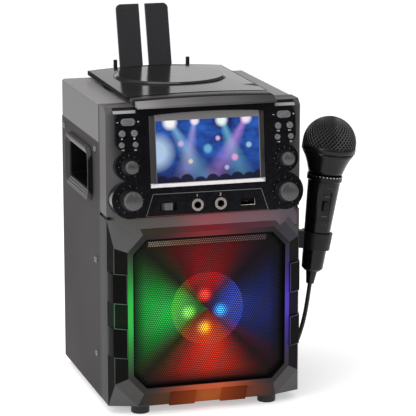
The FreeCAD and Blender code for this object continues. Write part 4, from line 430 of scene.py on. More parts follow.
def dish_level(paint):
    """Painted light on the reflector: sectors, dark between the lamps, with a painted halo round each lamp."""
    level = paint.times(paint.rays(0.3, 0.7), paint.spread(paint.radius, 0.004, 0.024, 0.1, 1))
    for x, z, tint in BULBS:
        level = paint.math("MULTIPLY_ADD", paint.near_bulb(x, z, 0.0088), 2.2, level)
    return level


def bulb_lit():
    """Clear bulbs: white-hot towards the tip, coloured at the foot."""
    paint = Glow("bulb_lit")
    tone = paint.sectors((0.1, 0.9, 0.2), (0.08, 0.4, 1), (1, 0.1, 0.05), (1, 0.5, 0.04))
    tip = paint.spread(paint.y, -0.0868, -0.0855, 0.8, 0.1)
    paint.give(glow=paint.mix(tip, tone, (1, 1, 1)), level=2.6, rough=0.2)


# The screen's picture, in shares of its width and height: beams, discs of light, a crowd of round heads
SCREEN_HALF, SCREEN_LOW, SCREEN_HIGH, SCREEN_ASPECT = 47.5, 213.3, 268.0, 1.72
BEAMS = (
    (0.14, 0.32, 0.08, (0.3, 0.65, 1), 0.6), (0.38, -0.12, 0.06, (0.7, 0.6, 1), 0.4),
    (0.64, 0.2, 0.07, (0.25, 0.75, 1), 0.5), (0.88, -0.34, 0.08, (0.75, 0.35, 0.95), 0.5),
)
DISCS = (
    (0.14, 0.97, 0.14, (1, 1, 1), 0.95), (0.38, 0.98, 0.09, (1, 0.9, 1), 0.9),
    (0.64, 0.97, 0.12, (0.9, 1, 1), 0.95), (0.88, 0.98, 0.11, (1, 0.85, 1), 0.9),
    (0.0, 0.5, 0.34, (0.6, 0.8, 1), 0.7), (0.24, 0.62, 0.06, (1, 0.5, 0.75), 0.6),
    (0.5, 0.52, 0.09, (0.3, 0.85, 1), 0.45), (0.76, 0.36, 0.07, (1, 0.4, 0.7), 0.75),
    (0.33, 0.33, 0.05, (1, 0.8, 0.45), 0.65), (0.6, 0.68, 0.05, (1, 0.6, 0.85), 0.7),
    (0.9, 0.55, 0.06, (0.5, 0.85, 1), 0.6), (0.68, 0.2, 0.05, (0.6, 0.8, 1), 0.55),
)
CROWD = (
    (0.04, 0.0, 0.13), (0.17, -0.04, 0.15), (0.29, 0.02, 0.12), (0.42, -0.05, 0.14), (0.54, 0.0, 0.12),
    (0.66, -0.04, 0.15), (0.78, 0.01, 0.12), (0.9, -0.03, 0.15), (1.0, 0.03, 0.12),
)


def display_lit():
    """A lit panel with a generic stage: blue haze, beams from above and soft discs of light."""
    paint = Paint("display_lit")
    x, y, z = paint.split(paint.place)
    across = paint.spread(x, -SCREEN_HALF * MM, SCREEN_HALF * MM)
    rise = paint.spread(z, SCREEN_LOW * MM, SCREEN_HIGH * MM)
    flat = paint.add("CombineXYZ", {"X": across, "Y": rise}).outputs[0]
    haze = paint.spread(paint.noise(3.6, 5.0, 0.6, flat), 0.35, 0.66)
    picture = paint.mix(haze, (0.004, 0.012, 0.11), (0.02, 0.12, 0.55))
    picture = paint.mix(paint.spread(rise, 0.0, 0.5, 0.8, 0), picture, (0.004, 0.006, 0.05))

    def disc(u, v, inner, outer, tone, amount):
        gap = paint.add("VectorMath", {0: flat, 1: (u, v, 0)}, operation="SUBTRACT").outputs[0]
        gap = paint.add("VectorMath", {0: gap, 1: (SCREEN_ASPECT, 1, 0)}, operation="MULTIPLY").outputs[0]
        return paint.mix(paint.spread(paint.length(gap), inner, outer, amount, 0), picture, tone)

    for u, lean, width, tone, amount in BEAMS:
        slope = paint.math("MULTIPLY_ADD", rise, lean, across)
        off = paint.size(paint.math("ADD", slope, -u - lean))
        off = paint.math("DIVIDE", off, paint.spread(rise, 0.05, 1.0, width * 2.2, width * 0.35))
        painted_shade = paint.times(paint.spread(off, 0.1, 1.0, amount, 0), paint.spread(rise, 0.1, 0.95, 0.35, 1))
        picture = paint.mix(painted_shade, picture, tone)
    for u, v, size, tone, amount in DISCS:
        picture = disc(u, v, size * 0.45, size, tone, amount)
    for u, v, size in CROWD:
        picture = disc(u, v, size * 0.85, size, (0.003, 0.003, 0.02), 0.95)
    paint.give(glow=picture, level=0.95, base=0.01, rough=0.12, specular=0.2)


for make in (deck_paint, head_paint, panel_vinyl, bezel_paint, handle_paint, lid_paint, frame_paint,
             button_grey, bulb_lit, display_lit):
    make()
moulded("facet_grey", 0.075, 0.09, 0.36)
# a lighter copy of the handle's grey for its ridges, as painted highlight
moulded("ridge_grey", 0.1, 0.13, 0.36)
moulded("gloss_black", (0.003, 0.003, 0.005), (0.006, 0.006, 0.008), 0.14, grain=300.0, bump=0.03)
moulded("line_black", 0.002, 0.004, 0.4, 0.1)
moulded("fin_black", (0.024, 0.024, 0.027), (0.031, 0.031, 0.035), 0.26, bump=0.05)
moulded("satin_black", 0.006, 0.01, 0.4, 0.22)
moulded("mic_black", 0.004, 0.006, 0.2, 0.25)
moulded("mesh_grey", 0.03, 0.04, 0.34, 0.5)
moulded("knob_grey", 0.08, 0.11, 0.3, metal=0.5)
moulded("knob_black", 0.005, 0.009, 0.3)
moulded("switch_grey", 0.13, 0.18, 0.4)
moulded("steel", 0.45, 0.55, 0.28, metal=1.0)
moulded("warm_metal", (0.6, 0.53, 0.5), (0.72, 0.64, 0.6), 0.22, metal=1.0, bump=0.05)
moulded("gold", (0.7, 0.45, 0.14), (0.8, 0.55, 0.2), 0.25, metal=1.0, bump=0.05)
moulded("chrome", 0.66, 0.74, 0.14, metal=1.0, bump=0.03)
moulded("screw_steel", 0.1, 0.14, 0.25, metal=1.0, bump=0.03)
moulded("foot_rubber", 0.01, 0.016, 0.32, bump=0.2)
moulded("cord_rubber", 0.008, 0.013, 0.5, bump=0.4)
moulded("board_raw", (0.3, 0.2, 0.12), (0.42, 0.3, 0.2), 0.7, grain=500.0, bump=0.5)
moulded("circuit", (0.02, 0.1, 0.04), (0.03, 0.14, 0.06), 0.35)
moulded("paper", 0.006, 0.012, 0.8, 0.1, grain=600.0, bump=0.6)
moulded("print_white", 0.5, 0.58, 0.5)
moulded("print_dim", 0.14, 0.19, 0.5)
moulded("print_red", (0.12, 0.025, 0.02), (0.15, 0.035, 0.03), 0.5)
# The grille sheet, the sheet behind it, the dish, the ring's faces and its beads glow with painted light:
# colour standing in for the light of the lamps behind the grille falling on them.
lit("grille_metal", 0.006, 0.45, by_sector(GREEN, BLUE, RED, ORANGE), metal_level, 0.1)
lit("glow_panel", 0.006, 0.5, by_sector(GREEN, BLUE, RED, ORANGE), ray_level)
lit("glow_strip", 0.05, 0.5, across_ring(
    (0.15, (0.5, 0.42, 0.28)), (0.4, (0.42, 0.2, 0.12)), (0.6, (0.3, 0.13, 0.11)),
    (0.85, (0.2, 0.14, 0.16))), even(0.55))
lit("glow_dish", 0.02, 0.5, dish_colour, dish_level)
lit("ring_top", 0.008, 0.36, across_ring(
    (0.0, (0.025, 0.028, 0.02)), (0.25, (0.035, 0.02, 0.014)), (0.5, (0.15, 0.006, 0.012)),
    (0.72, (0.09, 0.02, 0.035)), (1.0, (0.045, 0.032, 0.045))), even(1.0), 0.08)
lit("ring_brow", 0.03, 0.36, across_ring(
    (0.0, (0.07, 0.07, 0.058)), (0.28, (0.09, 0.06, 0.05)), (0.52, (0.27, 0.035, 0.05)),
    (0.75, (0.13, 0.065, 0.08)), (1.0, (0.08, 0.055, 0.07))), even(1.0))
lit("ring_diagonal", 0.05, 0.36, by_sector(
    (0.005, 0.02, 0.006), (0.012, 0.008, 0.03), (0.01, 0.008, 0.008), (0.02, 0.01, 0.006)), even(0.6))
lit("ring_side", 0.003, 0.45, by_sector(
    (0.002, 0.03, 0.006), (0.006, 0.003, 0.035), RED, ORANGE), side_glow(0.25, 3.0), 0.05)
lit("ring_low", 0.012, 0.45, across_ring(
    (0.1, (0.022, 0.019, 0.015)), (0.28, (0.08, 0.03, 0.008)), (0.5, (0.34, 0.07, 0.008)),
    (0.72, (0.12, 0.025, 0.01)), (0.92, (0.03, 0.02, 0.02))), even(1.0), 0.04)
lit("ring_edge", 0.05, 0.34, by_sector(
    (0.01, 0.12, 0.025), (0.03, 0.02, 0.14), (0.1, 0.02, 0.02), (0.3, 0.05, 0.01)), side_glow(0.7, 3.0))
lit("ring_land", 0.022, 0.4, by_sector(
    (0.006, 0.55, 0.05), (0.05, 0.02, 0.42), (0.17, 0.004, 0.008), (0.5, 0.07, 0.012)),
    side_glow(0.95, 2.4), 0.15)


# Mesh helpers
def show(name, data):
    item = bpy.data.objects.new(name, data)
    bpy.context.scene.collection.objects.link(item)
    return item


def piece(name, shape, paints, body="cabinet", matrix=None, smooth=False, bevel=0.0, marks=None):
    """A new mesh piece from points and faces in millimetres, riding on a body."""
    points, faces = shape
    mesh = bpy.data.meshes.new(name)
    matrix = matrix or Matrix.Identity(4)
    mesh.from_pydata([tuple((matrix @ Vector(p)) * MM) for p in points], [], faces)
    for paint in paints if isinstance(paints, list) else [paints]:
        mesh.materials.append(PAINTS[paint])
    if marks:
        mesh.polygons.foreach_set("material_index", marks)
    outward = bmesh.new()
    outward.from_mesh(mesh)
    bmesh.ops.recalc_face_normals(outward, faces=outward.faces)
    outward.to_mesh(mesh)
    outward.free()
    if smooth:
        mesh.polygons.foreach_set("use_smooth", [True] * len(mesh.polygons))
    item = show(name, mesh)
    if bevel:
        soften(item, bevel)
    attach(item, body)
    return item


def soften(item, width):
    """Small round on every sharp edge, so that edges catch the light."""
    item.modifiers.new("weld", "WELD").merge_threshold = 0.000002
    flat = item.modifiers.new("flat", "DECIMATE")
    flat.decimate_type = "DISSOLVE"
    flat.angle_limit = math.radians(0.6)
    edge = item.modifiers.new("edge", "BEVEL")
    edge.width = width * MM
    edge.segments = 2
    edge.limit_method = "ANGLE"
    edge.angle_limit = math.radians(30.0)
    item.modifiers.new("normals", "WEIGHTED_NORMAL").keep_sharp = False


def dress(name, paint, bevel=0.0):
    """A better material, and rounded edges, on a node that keeps its shape."""
    item = nodes[name]
    item.data.materials.clear()
    item.data.materials.append(PAINTS[paint])
    if bevel:
        soften(item, bevel)


def lathe(profile, count=48, ridges=0, ridge_depth=0.0, ridge_span=(0, 0), closed=False):
    """Points and faces turned about Z; ridges cut a serrated grip into part of the height."""
    points, faces = [], []
    for r, z in profile:
        for i in range(count):
            a = 2 * math.pi * i / count
            cut = 0.0
            if ridges and ridge_span[0] <= z <= ridge_span[1]:
                cut = ridge_depth * (0.5 + 0.5 * math.cos(ridges * a))
            points.append(((r - cut) * math.cos(a), (r - cut) * math.sin(a), z))
    rows = len(profile)
    for k in range(rows if closed else rows - 1):
        above = (k + 1) % rows
        for i in range(count):
            j = (i + 1) % count
            faces.append((k * count + i, k * count + j, above * count + j, above * count + i))
    if not closed:
        faces.append(tuple(range((rows - 1) * count, rows * count)))
        faces.append(tuple(reversed(range(count))))
    return points, faces


def prism(outline, low, high):
    """A flat plate from an outline in the plane, between two levels."""
    count = len(outline)
    points = [(u, v, low) for u, v in outline] + [(u, v, high) for u, v in outline]
    faces = [tuple(reversed(range(count))), tuple(range(count, 2 * count))]
    for i in range(count):
        j = (i + 1) % count
        faces.append((i, j, count + j, count + i))
    return points, faces


def block(low, high):
    (x0, y0, z0), (x1, y1, z1) = low, high
    return prism([(x0, y0), (x1, y0), (x1, y1), (x0, y1)], z0, z1)


def joined(parts):
    points, faces = [], []
    for p, f in parts:
        start = len(points)
        points += p
        faces += [tuple(i + start for i in face) for face in f]
    return points, faces


def moved(shape, matrix):
    points, faces = shape
    return [tuple(matrix @ Vector(p)) for p in points], faces


def at(x, y, z):
    return Matrix.Translation(Vector((x, y, z)))


def tube_between(a, b, radius, count=8):
    way = (b - a).to_track_quat("Z", "Y").to_matrix().to_4x4()
    return moved(lathe([(radius, 0), (radius, (b - a).length)], count), Matrix.Translation(a) @ way)


def bar(u, v, width, height):
    return [(u - width / 2, v - height / 2), (u + width / 2, v - height / 2),
            (u + width / 2, v + height / 2), (u - width / 2, v + height / 2)]


def pointer(u, v, size, way):
    return [(u - way * size / 2, v - size / 2), (u + way * size / 2, v), (u - way * size / 2, v + size / 2)]


def stroke(a, b, width):
    """A straight printed line from a to b."""
    a, b = Vector(a), Vector(b)
    side = Vector((a.y - b.y, b.x - a.x)).normalized() * width / 2
    return [tuple(a + side), tuple(a - side), tuple(b - side), tuple(b + side)]


# Stage, camera and light, in metres
FLOOR_HALF, FLOOR_GLOW = 6.0, 0.46
VIEW_AZIMUTH, VIEW_ELEVATION, VIEW_DISTANCE = math.radians(-16.46), math.radians(12.55), 2.081
VIEW_TARGET = Vector((0.033, 0.0125, 0.162))
LENS, SENSOR = 190.8, 36.0
LAMPS = (
    ("key_left", (-1.3, -0.9, 0.95), (0, 0, 0.18), 1.0, 10.5),
    ("soft_top", (-0.3, -0.2, 1.7), (0, 0, 0.2), 1.3, 10.0),
    ("fill_right", (1.2, -1.5, 0.9), (0, 0, 0.15), 0.8, 2.0),
)


def aim(item, place, target):
    item.location = place
    item.rotation_euler = (Vector(target) - Vector(place)).to_track_quat("-Z", "Y").to_euler()


def build_world():
    """A soft room: lighter above and to the left, with a pale wall behind up to a low height."""
    world = bpy.data.worlds.new("studio")
    world.use_nodes = True
    room = Nodes(world.node_tree)
    x, y, z = room.split(room.add("TexCoord").outputs["Generated"])
    level = room.math("MULTIPLY_ADD", z, 0.3, 0.45)
    level = room.math("MULTIPLY_ADD", x, -0.28, level)
    ahead = room.spread(y, -0.92, -0.6, 0.2, 1)
    level = room.times(level, room.most(ahead, room.spread(z, 0.2, 0.5)))
    wall = room.spread(z, 0.2, 0.29, 1, 0.18)
    behind = room.spread(y, 0.5, 0.75)
    level = room.math("MULTIPLY_ADD", room.math("SUBTRACT", wall, level), behind, level)
    room.feed(world.node_tree.nodes["Background"], {"Color": (1, 1, 1, 1), "Strength": level})
    bpy.context.scene.world = world


def build_floor():
    mesh = bpy.data.meshes.new("floor")
    reach = FLOOR_HALF
    mesh.from_pydata([(-reach, -reach, 0), (reach, -reach, 0), (reach, reach, 0), (-reach, reach, 0)], [],
                     [(0, 1, 2, 3)])
    paint = Paint("floor_pale")
    ray = paint.add("LightPath").outputs
    seen = paint.most(ray["Is Camera Ray"], ray["Is Glossy Ray"], ray["Is Transmission Ray"])
    paint.give(
        base=paint.mix(paint.noise(3.0), (0.88, 0.88, 0.88), (0.92, 0.92, 0.92)), rough=0.8, specular=0.1,
        glow=(1, 1, 1), level=paint.times(seen, FLOOR_GLOW))
    mesh.materials.append(PAINTS["floor_pale"])
    show("floor", mesh)


def build_stage():
    scene = bpy.context.scene
    scene.view_settings.view_transform = "Standard"
    build_world()
    build_floor()
    data = bpy.data.cameras.new("camera")
    data.lens = LENS
    data.sensor_width = SENSOR
    data.clip_end = 50.0
    flat = math.cos(VIEW_ELEVATION)
    way = Vector((math.sin(VIEW_AZIMUTH) * flat, -math.cos(VIEW_AZIMUTH) * flat, math.sin(VIEW_ELEVATION)))
    scene.camera = show("camera", data)
    aim(scene.camera, VIEW_TARGET + way * VIEW_DISTANCE, VIEW_TARGET)
    for name, place, target, size, power in LAMPS:
        lamp = bpy.data.lights.new(name, "AREA")
        lamp.energy = power
        lamp.size = size
        aim(show(name, lamp), place, target)


# Microphone cord: one route from the strain relief to the plug
CORD_ROUTE = (
    (107.6, -53.5, 68.0), (106.0, -45.0, 49.0), (105.0, -31.0, 31.5), (104.2, -12.0, 18.0),
    (103.8, 12.0, 8.6), (104.4, 38.0, 3.6), (105.4, 66.0, 2.2), (104.0, 94.0, 2.2),
    (97.5, 120.0, 2.2), (84.0, 142.0, 2.2), (62.0, 157.0, 2.4), (40.0, 164.5, 2.8),
)
COIL_CENTRE = (0.0, 131.4)
COIL_TURNS, COIL_PITCH, COIL_INNER, COIL_LAYER, COIL_LOW, COIL_STEPS = 5.0, 4.6, 11.9, 4.5, 3.2, 16
COIL_LEAD_FAR, COIL_LEAD_NEAR, TAIL_NEAR, TAIL_FAR = 18.0, 4.0, 8.0, 17.0
CORD_RADIUS, RELIEF_TIP, RELIEF_RUN = 2.0, -41.5, 14.0


def cord_points():
    outer = COIL_INNER + COIL_TURNS * COIL_PITCH
    cx, cy = COIL_CENTRE
    points = [mic_matrix @ Vector((0, 0, RELIEF_TIP)), mic_matrix @ Vector((0, 0, RELIEF_TIP - RELIEF_RUN))]
    points += [Vector(p) for p in CORD_ROUTE]
    points += [Vector((cx + lead, cy + outer, COIL_LOW)) for lead in (COIL_LEAD_FAR, COIL_LEAD_NEAR)]
    # the spline runs inside its points, so the turns are drawn a little larger
    grow = 1 / (0.75 + 0.25 * math.cos(2 * math.pi / COIL_STEPS))

    def turn_point(radius, turns, rise):
        a = math.pi / 2 + turns * 2 * math.pi
        return Vector((cx + radius * math.cos(a), cy + radius * math.sin(a), COIL_LOW + rise))

    total = int(COIL_TURNS * COIL_STEPS)
    for k in range(total + 1):
        turn = k / COIL_STEPS
        points.append(turn_point((outer - turn * COIL_PITCH) * (grow if k else 1), turn, 0))
    climb = COIL_STEPS // 2
    for k in range(1, climb):
        turn = k / COIL_STEPS
        share = k / climb
        dip = COIL_PITCH * turn if share < 0.5 else COIL_PITCH * (0.5 - turn)
        rise = COIL_LAYER * (0.5 - 0.5 * math.cos(math.pi * share))
        points.append(turn_point((COIL_INNER - dip) * grow, COIL_TURNS + turn, rise))
    for k in range(total + 1):
        turn = k / COIL_STEPS
        radius = (COIL_INNER + turn * COIL_PITCH) * (grow if k < total else 1)
        points.append(turn_point(radius, COIL_TURNS + 0.5 + turn, COIL_LAYER))
    end = points[-1]
    return points + [end + Vector((TAIL_NEAR, 0, 0)), end + Vector((TAIL_FAR, 0, 0))]


def build_cord():
    """The cord's own line is a spline; its tube is a mesh."""
    points = cord_points()
    curve = bpy.data.curves.new("cord_line", "CURVE")
    curve.dimensions = "3D"
    spline = curve.splines.new("NURBS")
    spline.points.add(len(points) - 1)
    for target, p in zip(spline.points, points):
        target.co = (p.x * MM, p.y * MM, p.z * MM, 1)
    spline.order_u = 3
    spline.use_endpoint_u = True
    spline.resolution_u = 6
    line = show("cord_line", curve)
    path = [tuple(v.co) for v in bpy.data.meshes.new_from_object(line).vertices]
    curve.bevel_depth = CORD_RADIUS * MM
    curve.bevel_resolution = 4
    curve.use_fill_caps = True
    bpy.context.view_layer.update()
    tube = bpy.data.meshes.new_from_object(line.evaluated_get(bpy.context.evaluated_depsgraph_get()))
    bpy.data.objects.remove(line)
    tube.materials.clear()
    tube.materials.append(PAINTS["cord_rubber"])
    tube.polygons.foreach_set("use_smooth", [True] * len(tube.polygons))
    cord = show("mic_cord", tube)
    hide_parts("mic_cord_hang", "mic_cord_coil")
    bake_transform(cord)
    dress("mic_plug", "chrome")
    dress("cord_tie", "satin_black", 0.2)


# Perforated grille with the lights behind it
LAND_HALF, LAND_LOW, LAND_HIGH, LAND_CUT, LAND_Y = 70.8, 27.0, 164.0, 12.2, -105.2
GRILLE_Y, GRILLE_PITCH, GRILLE_HOLE, GRILLE_THICK = -99.5, 2.05, 0.8, 0.6
PANEL_Y, PANEL_INSET, PANEL_THICK, WINDOW_GAP = -97.6, 1.8, 0.6, 0.6
DISC_Y, DISC_RADIUS, DISH_RADIUS = -82.75, 33.0, 46.0
DISH_PROFILE = [(DISH_RADIUS, 5.0), (DISH_RADIUS + 0.6, 6.5), (DISH_RADIUS - 0.6, 6.5), (36.0, 2.0),
                (26.0, 0.6), (24.5, 0.9), (12.0, 0.9), (10.0, 0.5), (3.0, 0.5)]
STRIP_HALF, STRIP_LOW, STRIP_HIGH = 55.0, 155.5, 160.0
CUT_SLOPE = 1.06


def eight(half, low, high, cut, y):
    rise = cut * CUT_SLOPE
    right = [(half - cut, y, low), (half, y, low + rise), (half, y, high - rise), (half - cut, y, high)]
    return right + [(-x, y, z) for x, y, z in reversed(right)]


def inside_land(x, z, margin):
    if abs(x) > LAND_HALF - margin or z < LAND_LOW + margin or z > LAND_HIGH - margin:
        return False
    for edge in (z - LAND_LOW, LAND_HIGH - z):
        if (LAND_HALF - abs(x)) / LAND_CUT + edge / (LAND_CUT * CUT_SLOPE) < 1 + margin * 0.115:
            return False
    return True


def build_grille():
    """A sheet of six-sided cells, each with a hole, that share their corners."""
    high = GRILLE_PITCH * math.sqrt(3) / 2
    reach = GRILLE_PITCH / math.sqrt(3)
    points, faces = [], []
    index = {}

    def corner(x, z):
        key = (round(x, 2), round(z, 2))
        if key not in index:
            index[key] = len(points)
            points.append((x, GRILLE_Y, z))
        return index[key]

    for row in range(int((LAND_HIGH - LAND_LOW) / high) + 1):
        z = LAND_LOW + row * high
        for column in range(int(2 * LAND_HALF / GRILLE_PITCH) + 2):
            x = -LAND_HALF + (column + 0.5 * (row % 2)) * GRILLE_PITCH
            if not inside_land(x, z, 1.0):
                continue
            rim, ring = [], []
            for k in range(6):
                a = math.pi / 6 + k * math.pi / 3
                rim.append(corner(x + reach * math.cos(a), z + reach * math.sin(a)))
                ring.append(len(points))
                points.append((x + GRILLE_HOLE * math.cos(a), GRILLE_Y, z + GRILLE_HOLE * math.sin(a)))
            for k in range(6):
                faces.append((rim[k], rim[(k + 1) % 6], ring[(k + 1) % 6], ring[k]))
    sheet = piece("grille_sheet", (points, faces), "grille_metal")
    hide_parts("speaker_grille")
    thick = sheet.modifiers.new("thick", "SOLIDIFY")
    thick.thickness = GRILLE_THICK * MM
    thick.offset = 0.0


def way_to_edge(way, outline):
    """Distance from the ring's middle to an outline round it."""
    reach = math.inf
    for k in range(len(outline)):
        (px, _, pz), (qx, _, qz) = outline[k], outline[(k + 1) % len(outline)]
        run = (qx - px, qz - pz)
        cross = way[0] * run[1] - way[1] * run[0]
        if abs(cross) > 0.000001:
            t = (px * run[1] - (pz - RING_Z) * run[0]) / cross
            if t > 0:
                reach = min(reach, t)
    return reach


def build_glow():
    """A sheet behind the grille with a round window, and the dish behind that, both glowing with painted light
    of the lamps.
    """
    steps = 64
    outer = eight(LAND_HALF - PANEL_INSET, LAND_LOW + PANEL_INSET, LAND_HIGH - PANEL_INSET, LAND_CUT, 0)
    window = DISC_RADIUS + WINDOW_GAP
    ways = [(math.cos(2 * math.pi * i / steps), math.sin(2 * math.pi * i / steps)) for i in range(steps)]
    points, faces = [], []
    for y in (PANEL_Y, PANEL_Y + PANEL_THICK):
        for reaches in ([way_to_edge(way, outer) for way in ways], [window] * steps):
            points += [(way[0] * reach, y, RING_Z + way[1] * reach) for way, reach in zip(ways, reaches)]
    back = 2 * steps
    for i in range(steps):
        j = (i + 1) % steps
        a, b, c, d = i, j, steps + j, steps + i
        faces += [(a, b, c, d), (back + d, back + c, back + b, back + a), (d, c, back + c, back + d),
                  (b, a, back + a, back + b)]
    piece("painted_glow_sheet", (points, faces), "glow_panel")
    turned = at(0, DISC_Y, RING_Z) @ Matrix.Rotation(math.pi / 2, 4, "X")
    piece("light_dish", lathe(DISH_PROFILE, 64), "glow_dish", matrix=turned)
    strip = block((-STRIP_HALF, PANEL_Y - 0.5, STRIP_LOW), (STRIP_HALF, PANEL_Y, STRIP_HIGH))
    piece("light_strip", strip, "glow_strip", bevel=0.15)


# Eight-sided ring round the grille
RING_LIFT, BEAD, PAD_BEAD = 0.12, 0.45, 0.35
OUTER_HALF, OUTER_LOW, OUTER_HIGH, OUTER_CUT, OUTER_Y = 85.8, 8.5, 178.0, 20.8, -96.3
INNER_HALF, INNER_LOW, INNER_HIGH, INNER_CUT, INNER_Y = 75.2, 21.7, 168.0, 14.4, -103.3
PAD_LIFT, PAD_EDGES = 1.7, (56.0, 83.0, 106.0, 133.0)
RING_PAINTS = ["facet_grey", "ring_top", "ring_side", "ring_diagonal", "ring_low", "ring_land", "ring_brow"]
# the sides follow each other round the ring from the lower right corner
RING_SIDES = ("diagonal", "side", "diagonal", "top", "diagonal", "side", "diagonal", "bottom")
RING_ROWS = (
    {"diagonal": "facet_grey", "side": "ring_side", "top": "ring_brow", "bottom": "ring_side"},
    {"diagonal": "ring_diagonal", "side": "ring_side", "top": "ring_top", "bottom": "ring_low"},
    dict.fromkeys(RING_SIDES, "ring_land"),
)


def build_ring():
    """Painted faces of the ring, a hair above the moulding, and beads along its edges; most faces and the
    beads glow with painted light of the lamps behind the grille.
    """
    lift = RING_LIFT
    square = [(HALF, CORNER_Y - lift, BASE_Z)] * 2 + [(HALF, CORNER_Y - lift, BEZEL_TOP_Z)] * 2
    square += [(-x, y, z) for x, y, z in reversed(square)]
    edge = eight(OUTER_HALF + lift, OUTER_LOW - lift, OUTER_HIGH + lift, OUTER_CUT, OUTER_Y - lift)
    points = square + edge
    points += eight(INNER_HALF + lift, INNER_LOW - lift, INNER_HIGH + lift, INNER_CUT, INNER_Y - lift)
    points += eight(LAND_HALF, LAND_LOW, LAND_HIGH, LAND_CUT, LAND_Y - lift)
    faces, marks = [], []
    for k, row in enumerate(RING_ROWS):
        for i, side in enumerate(RING_SIDES):
            j = (i + 1) % 8
            quad = [k * 8 + i, k * 8 + j, (k + 1) * 8 + j, (k + 1) * 8 + i]
            if points[quad[0]] == points[quad[1]]:
                quad = quad[1:]
            faces.append(tuple(quad))
            marks.append(RING_PAINTS.index(row[side]))
    piece("ring_skin", (points, faces), RING_PAINTS, marks=marks)
    beads = [tube_between(Vector(edge[first]), Vector(edge[last]), BEAD)
             for first, last in ((1, 2), (5, 6), (7, 0), (3, 4))]
    for sign in (-1, 1):
        outward = Vector((sign * (OUTER_Y - INNER_Y), INNER_HALF - OUTER_HALF, 0)).normalized() * PAD_LIFT
        outer = Vector((sign * OUTER_HALF, OUTER_Y, 0)) + outward
        inner = Vector((sign * INNER_HALF, INNER_Y, 0)) + outward
        for z in PAD_EDGES:
            beads.append(tube_between(outer + Vector((0, 0, z)), inner + Vector((0, 0, z)), PAD_BEAD))
        for low, high in zip(PAD_EDGES[::2], PAD_EDGES[1::2]):
            beads.append(tube_between(inner + Vector((0, 0, low)), inner + Vector((0, 0, high)), PAD_BEAD))
    piece("ring_beads", joined(beads), "ring_edge", smooth=True)


# Controls on the fascia
SKIRT_RIDGES, RIDGE_DEPTH, KNOB_COUNT = 32, 0.3, 96


def build_knobs():
    """Black fluted skirts with grey domed caps and a pointer line."""
    for side, sign in SIDES:
        for size, (rise, cap) in (("small", SMALL_KNOB), ("large", LARGE_KNOB)):
            foot = cap + KNOB_FLARE
            top = KNOB_HEIGHT - KNOB_DOME
            profile = [(foot, 0), (foot, 0.5), (cap + 1.3, KNOB_SKIRT - 0.6), (cap + 0.9, KNOB_SKIRT),
                       (cap - 0.3, KNOB_SKIRT + 0.1), (cap - 0.3, KNOB_SKIRT + 0.7), (cap, KNOB_SKIRT + 1.0),
                       (cap, top - 0.5), (cap - 0.15, top), (cap - 0.5, top + 0.35)]
            for share in (0.85, 0.7, 0.5, 0.3, 0.12):
                profile.append(((cap - 0.5) * share, KNOB_HEIGHT - (KNOB_DOME - 0.35) * share ** 2))
            turned = lathe(profile, KNOB_COUNT, SKIRT_RIDGES, RIDGE_DEPTH, (0.4, KNOB_SKIRT - 0.5))
            # the skirt and the underside are black, the rest of the turned form is the cap
            marks = [0 if k < 6 * KNOB_COUNT else 1 for k in range(len(turned[1]))]
            marks[-1] = 0
            line = block((-0.35, 0.45 * cap, top), (0.35, 0.9 * cap, KNOB_HEIGHT - 0.3))
            marks += [2] * len(line[1])
            name = size + "_knob_" + side
            place = fascia_matrix @ at(sign * KNOB_U, rise, FASCIA + KNOB_LIFT)
            knob = piece(name + "_turned", joined([turned, line]), ["knob_black", "knob_grey", "print_dim"],
                         name, place, marks=marks)
            knob.data.polygons.foreach_set("use_smooth", [m < 2 for m in marks])
            knob.modifiers.new("crease", "EDGE_SPLIT").split_angle = math.radians(40)
            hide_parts(name)


def dial_marks():
    marks = []
    for sign in (-1, 1):
        for rise, cap in (SMALL_KNOB, LARGE_KNOB):
            inner = cap + KNOB_FLARE + 0.9
            centre = Vector((sign * KNOB_U, rise))
            for k in range(11):
                a = math.radians(240 - 30 * k)
                way = Vector((math.cos(a), math.sin(a)))
                length = 1.5 if k % 5 == 0 else 0.9
                marks.append(stroke(centre + way * inner, centre + way * (inner + length), 0.45))
    return marks


SIGN_V, LOW_SIGN_V, BUTTON_OFF, ROCKER_OFF = 72.6, 62.7, 6.3, 9.4


def control_marks():
    """Generic signs beside the buttons: minus, plus, play, stop, steps, bars."""
    marks = []
    for sign in (-1, 1):
        u = sign * KNOB_U
        plus = u + ROCKER_OFF
        marks += [bar(u - ROCKER_OFF, ROCKER_V, 1.8, 0.5)]
        marks += [bar(plus, ROCKER_V, 1.8, 0.5), bar(plus, ROCKER_V, 0.5, 1.8)]
        marks += [bar(u - BUTTON_OFF + k, LOW_SIGN_V, 0.5, 0.8 + 0.4 * k) for k in range(3)]
        marks += [bar(u + BUTTON_OFF, LOW_SIGN_V + rise, 2.2, 0.45) for rise in (0.2, -0.7)]
    marks += [pointer(-77.3, SIGN_V, 1.7, 1), bar(-66.3, SIGN_V, 1.6, 1.6)]
    for u, way in ((65.6, -1), (67.0, -1), (76.6, 1), (78.0, 1)):
        marks.append(pointer(u, SIGN_V, 1.5, way))
    return marks


def numerals():
    """1 and 2 over the two microphone sockets."""
    v = PORT_V + 8.2
    one, two = -JACK_U, JACK_U
    lines = (
        ((one, v - 1), (one, v + 1), 0.4), ((one - 0.5, v + 0.6), (one, v + 1), 0.35),
        ((two - 0.6, v + 1), (two + 0.6, v + 1), 0.35), ((two + 0.6, v + 1.1), (two + 0.6, v), 0.35),
        ((two + 0.6, v), (two - 0.6, v - 0.9), 0.35), ((two - 0.7, v - 1), (two + 0.7, v - 1), 0.35),
    )
    return [stroke(*line) for line in lines]


def printed(name, outlines, paint):
    plates = [prism(outline, FASCIA - 0.02, FASCIA + 0.06) for outline in outlines]
    piece(name, joined(plates), paint, matrix=fascia_matrix)


PORT_CORNERS = ((-51, 22.3), (49, 21.7), (55, 2.4), (-58, 2.8))


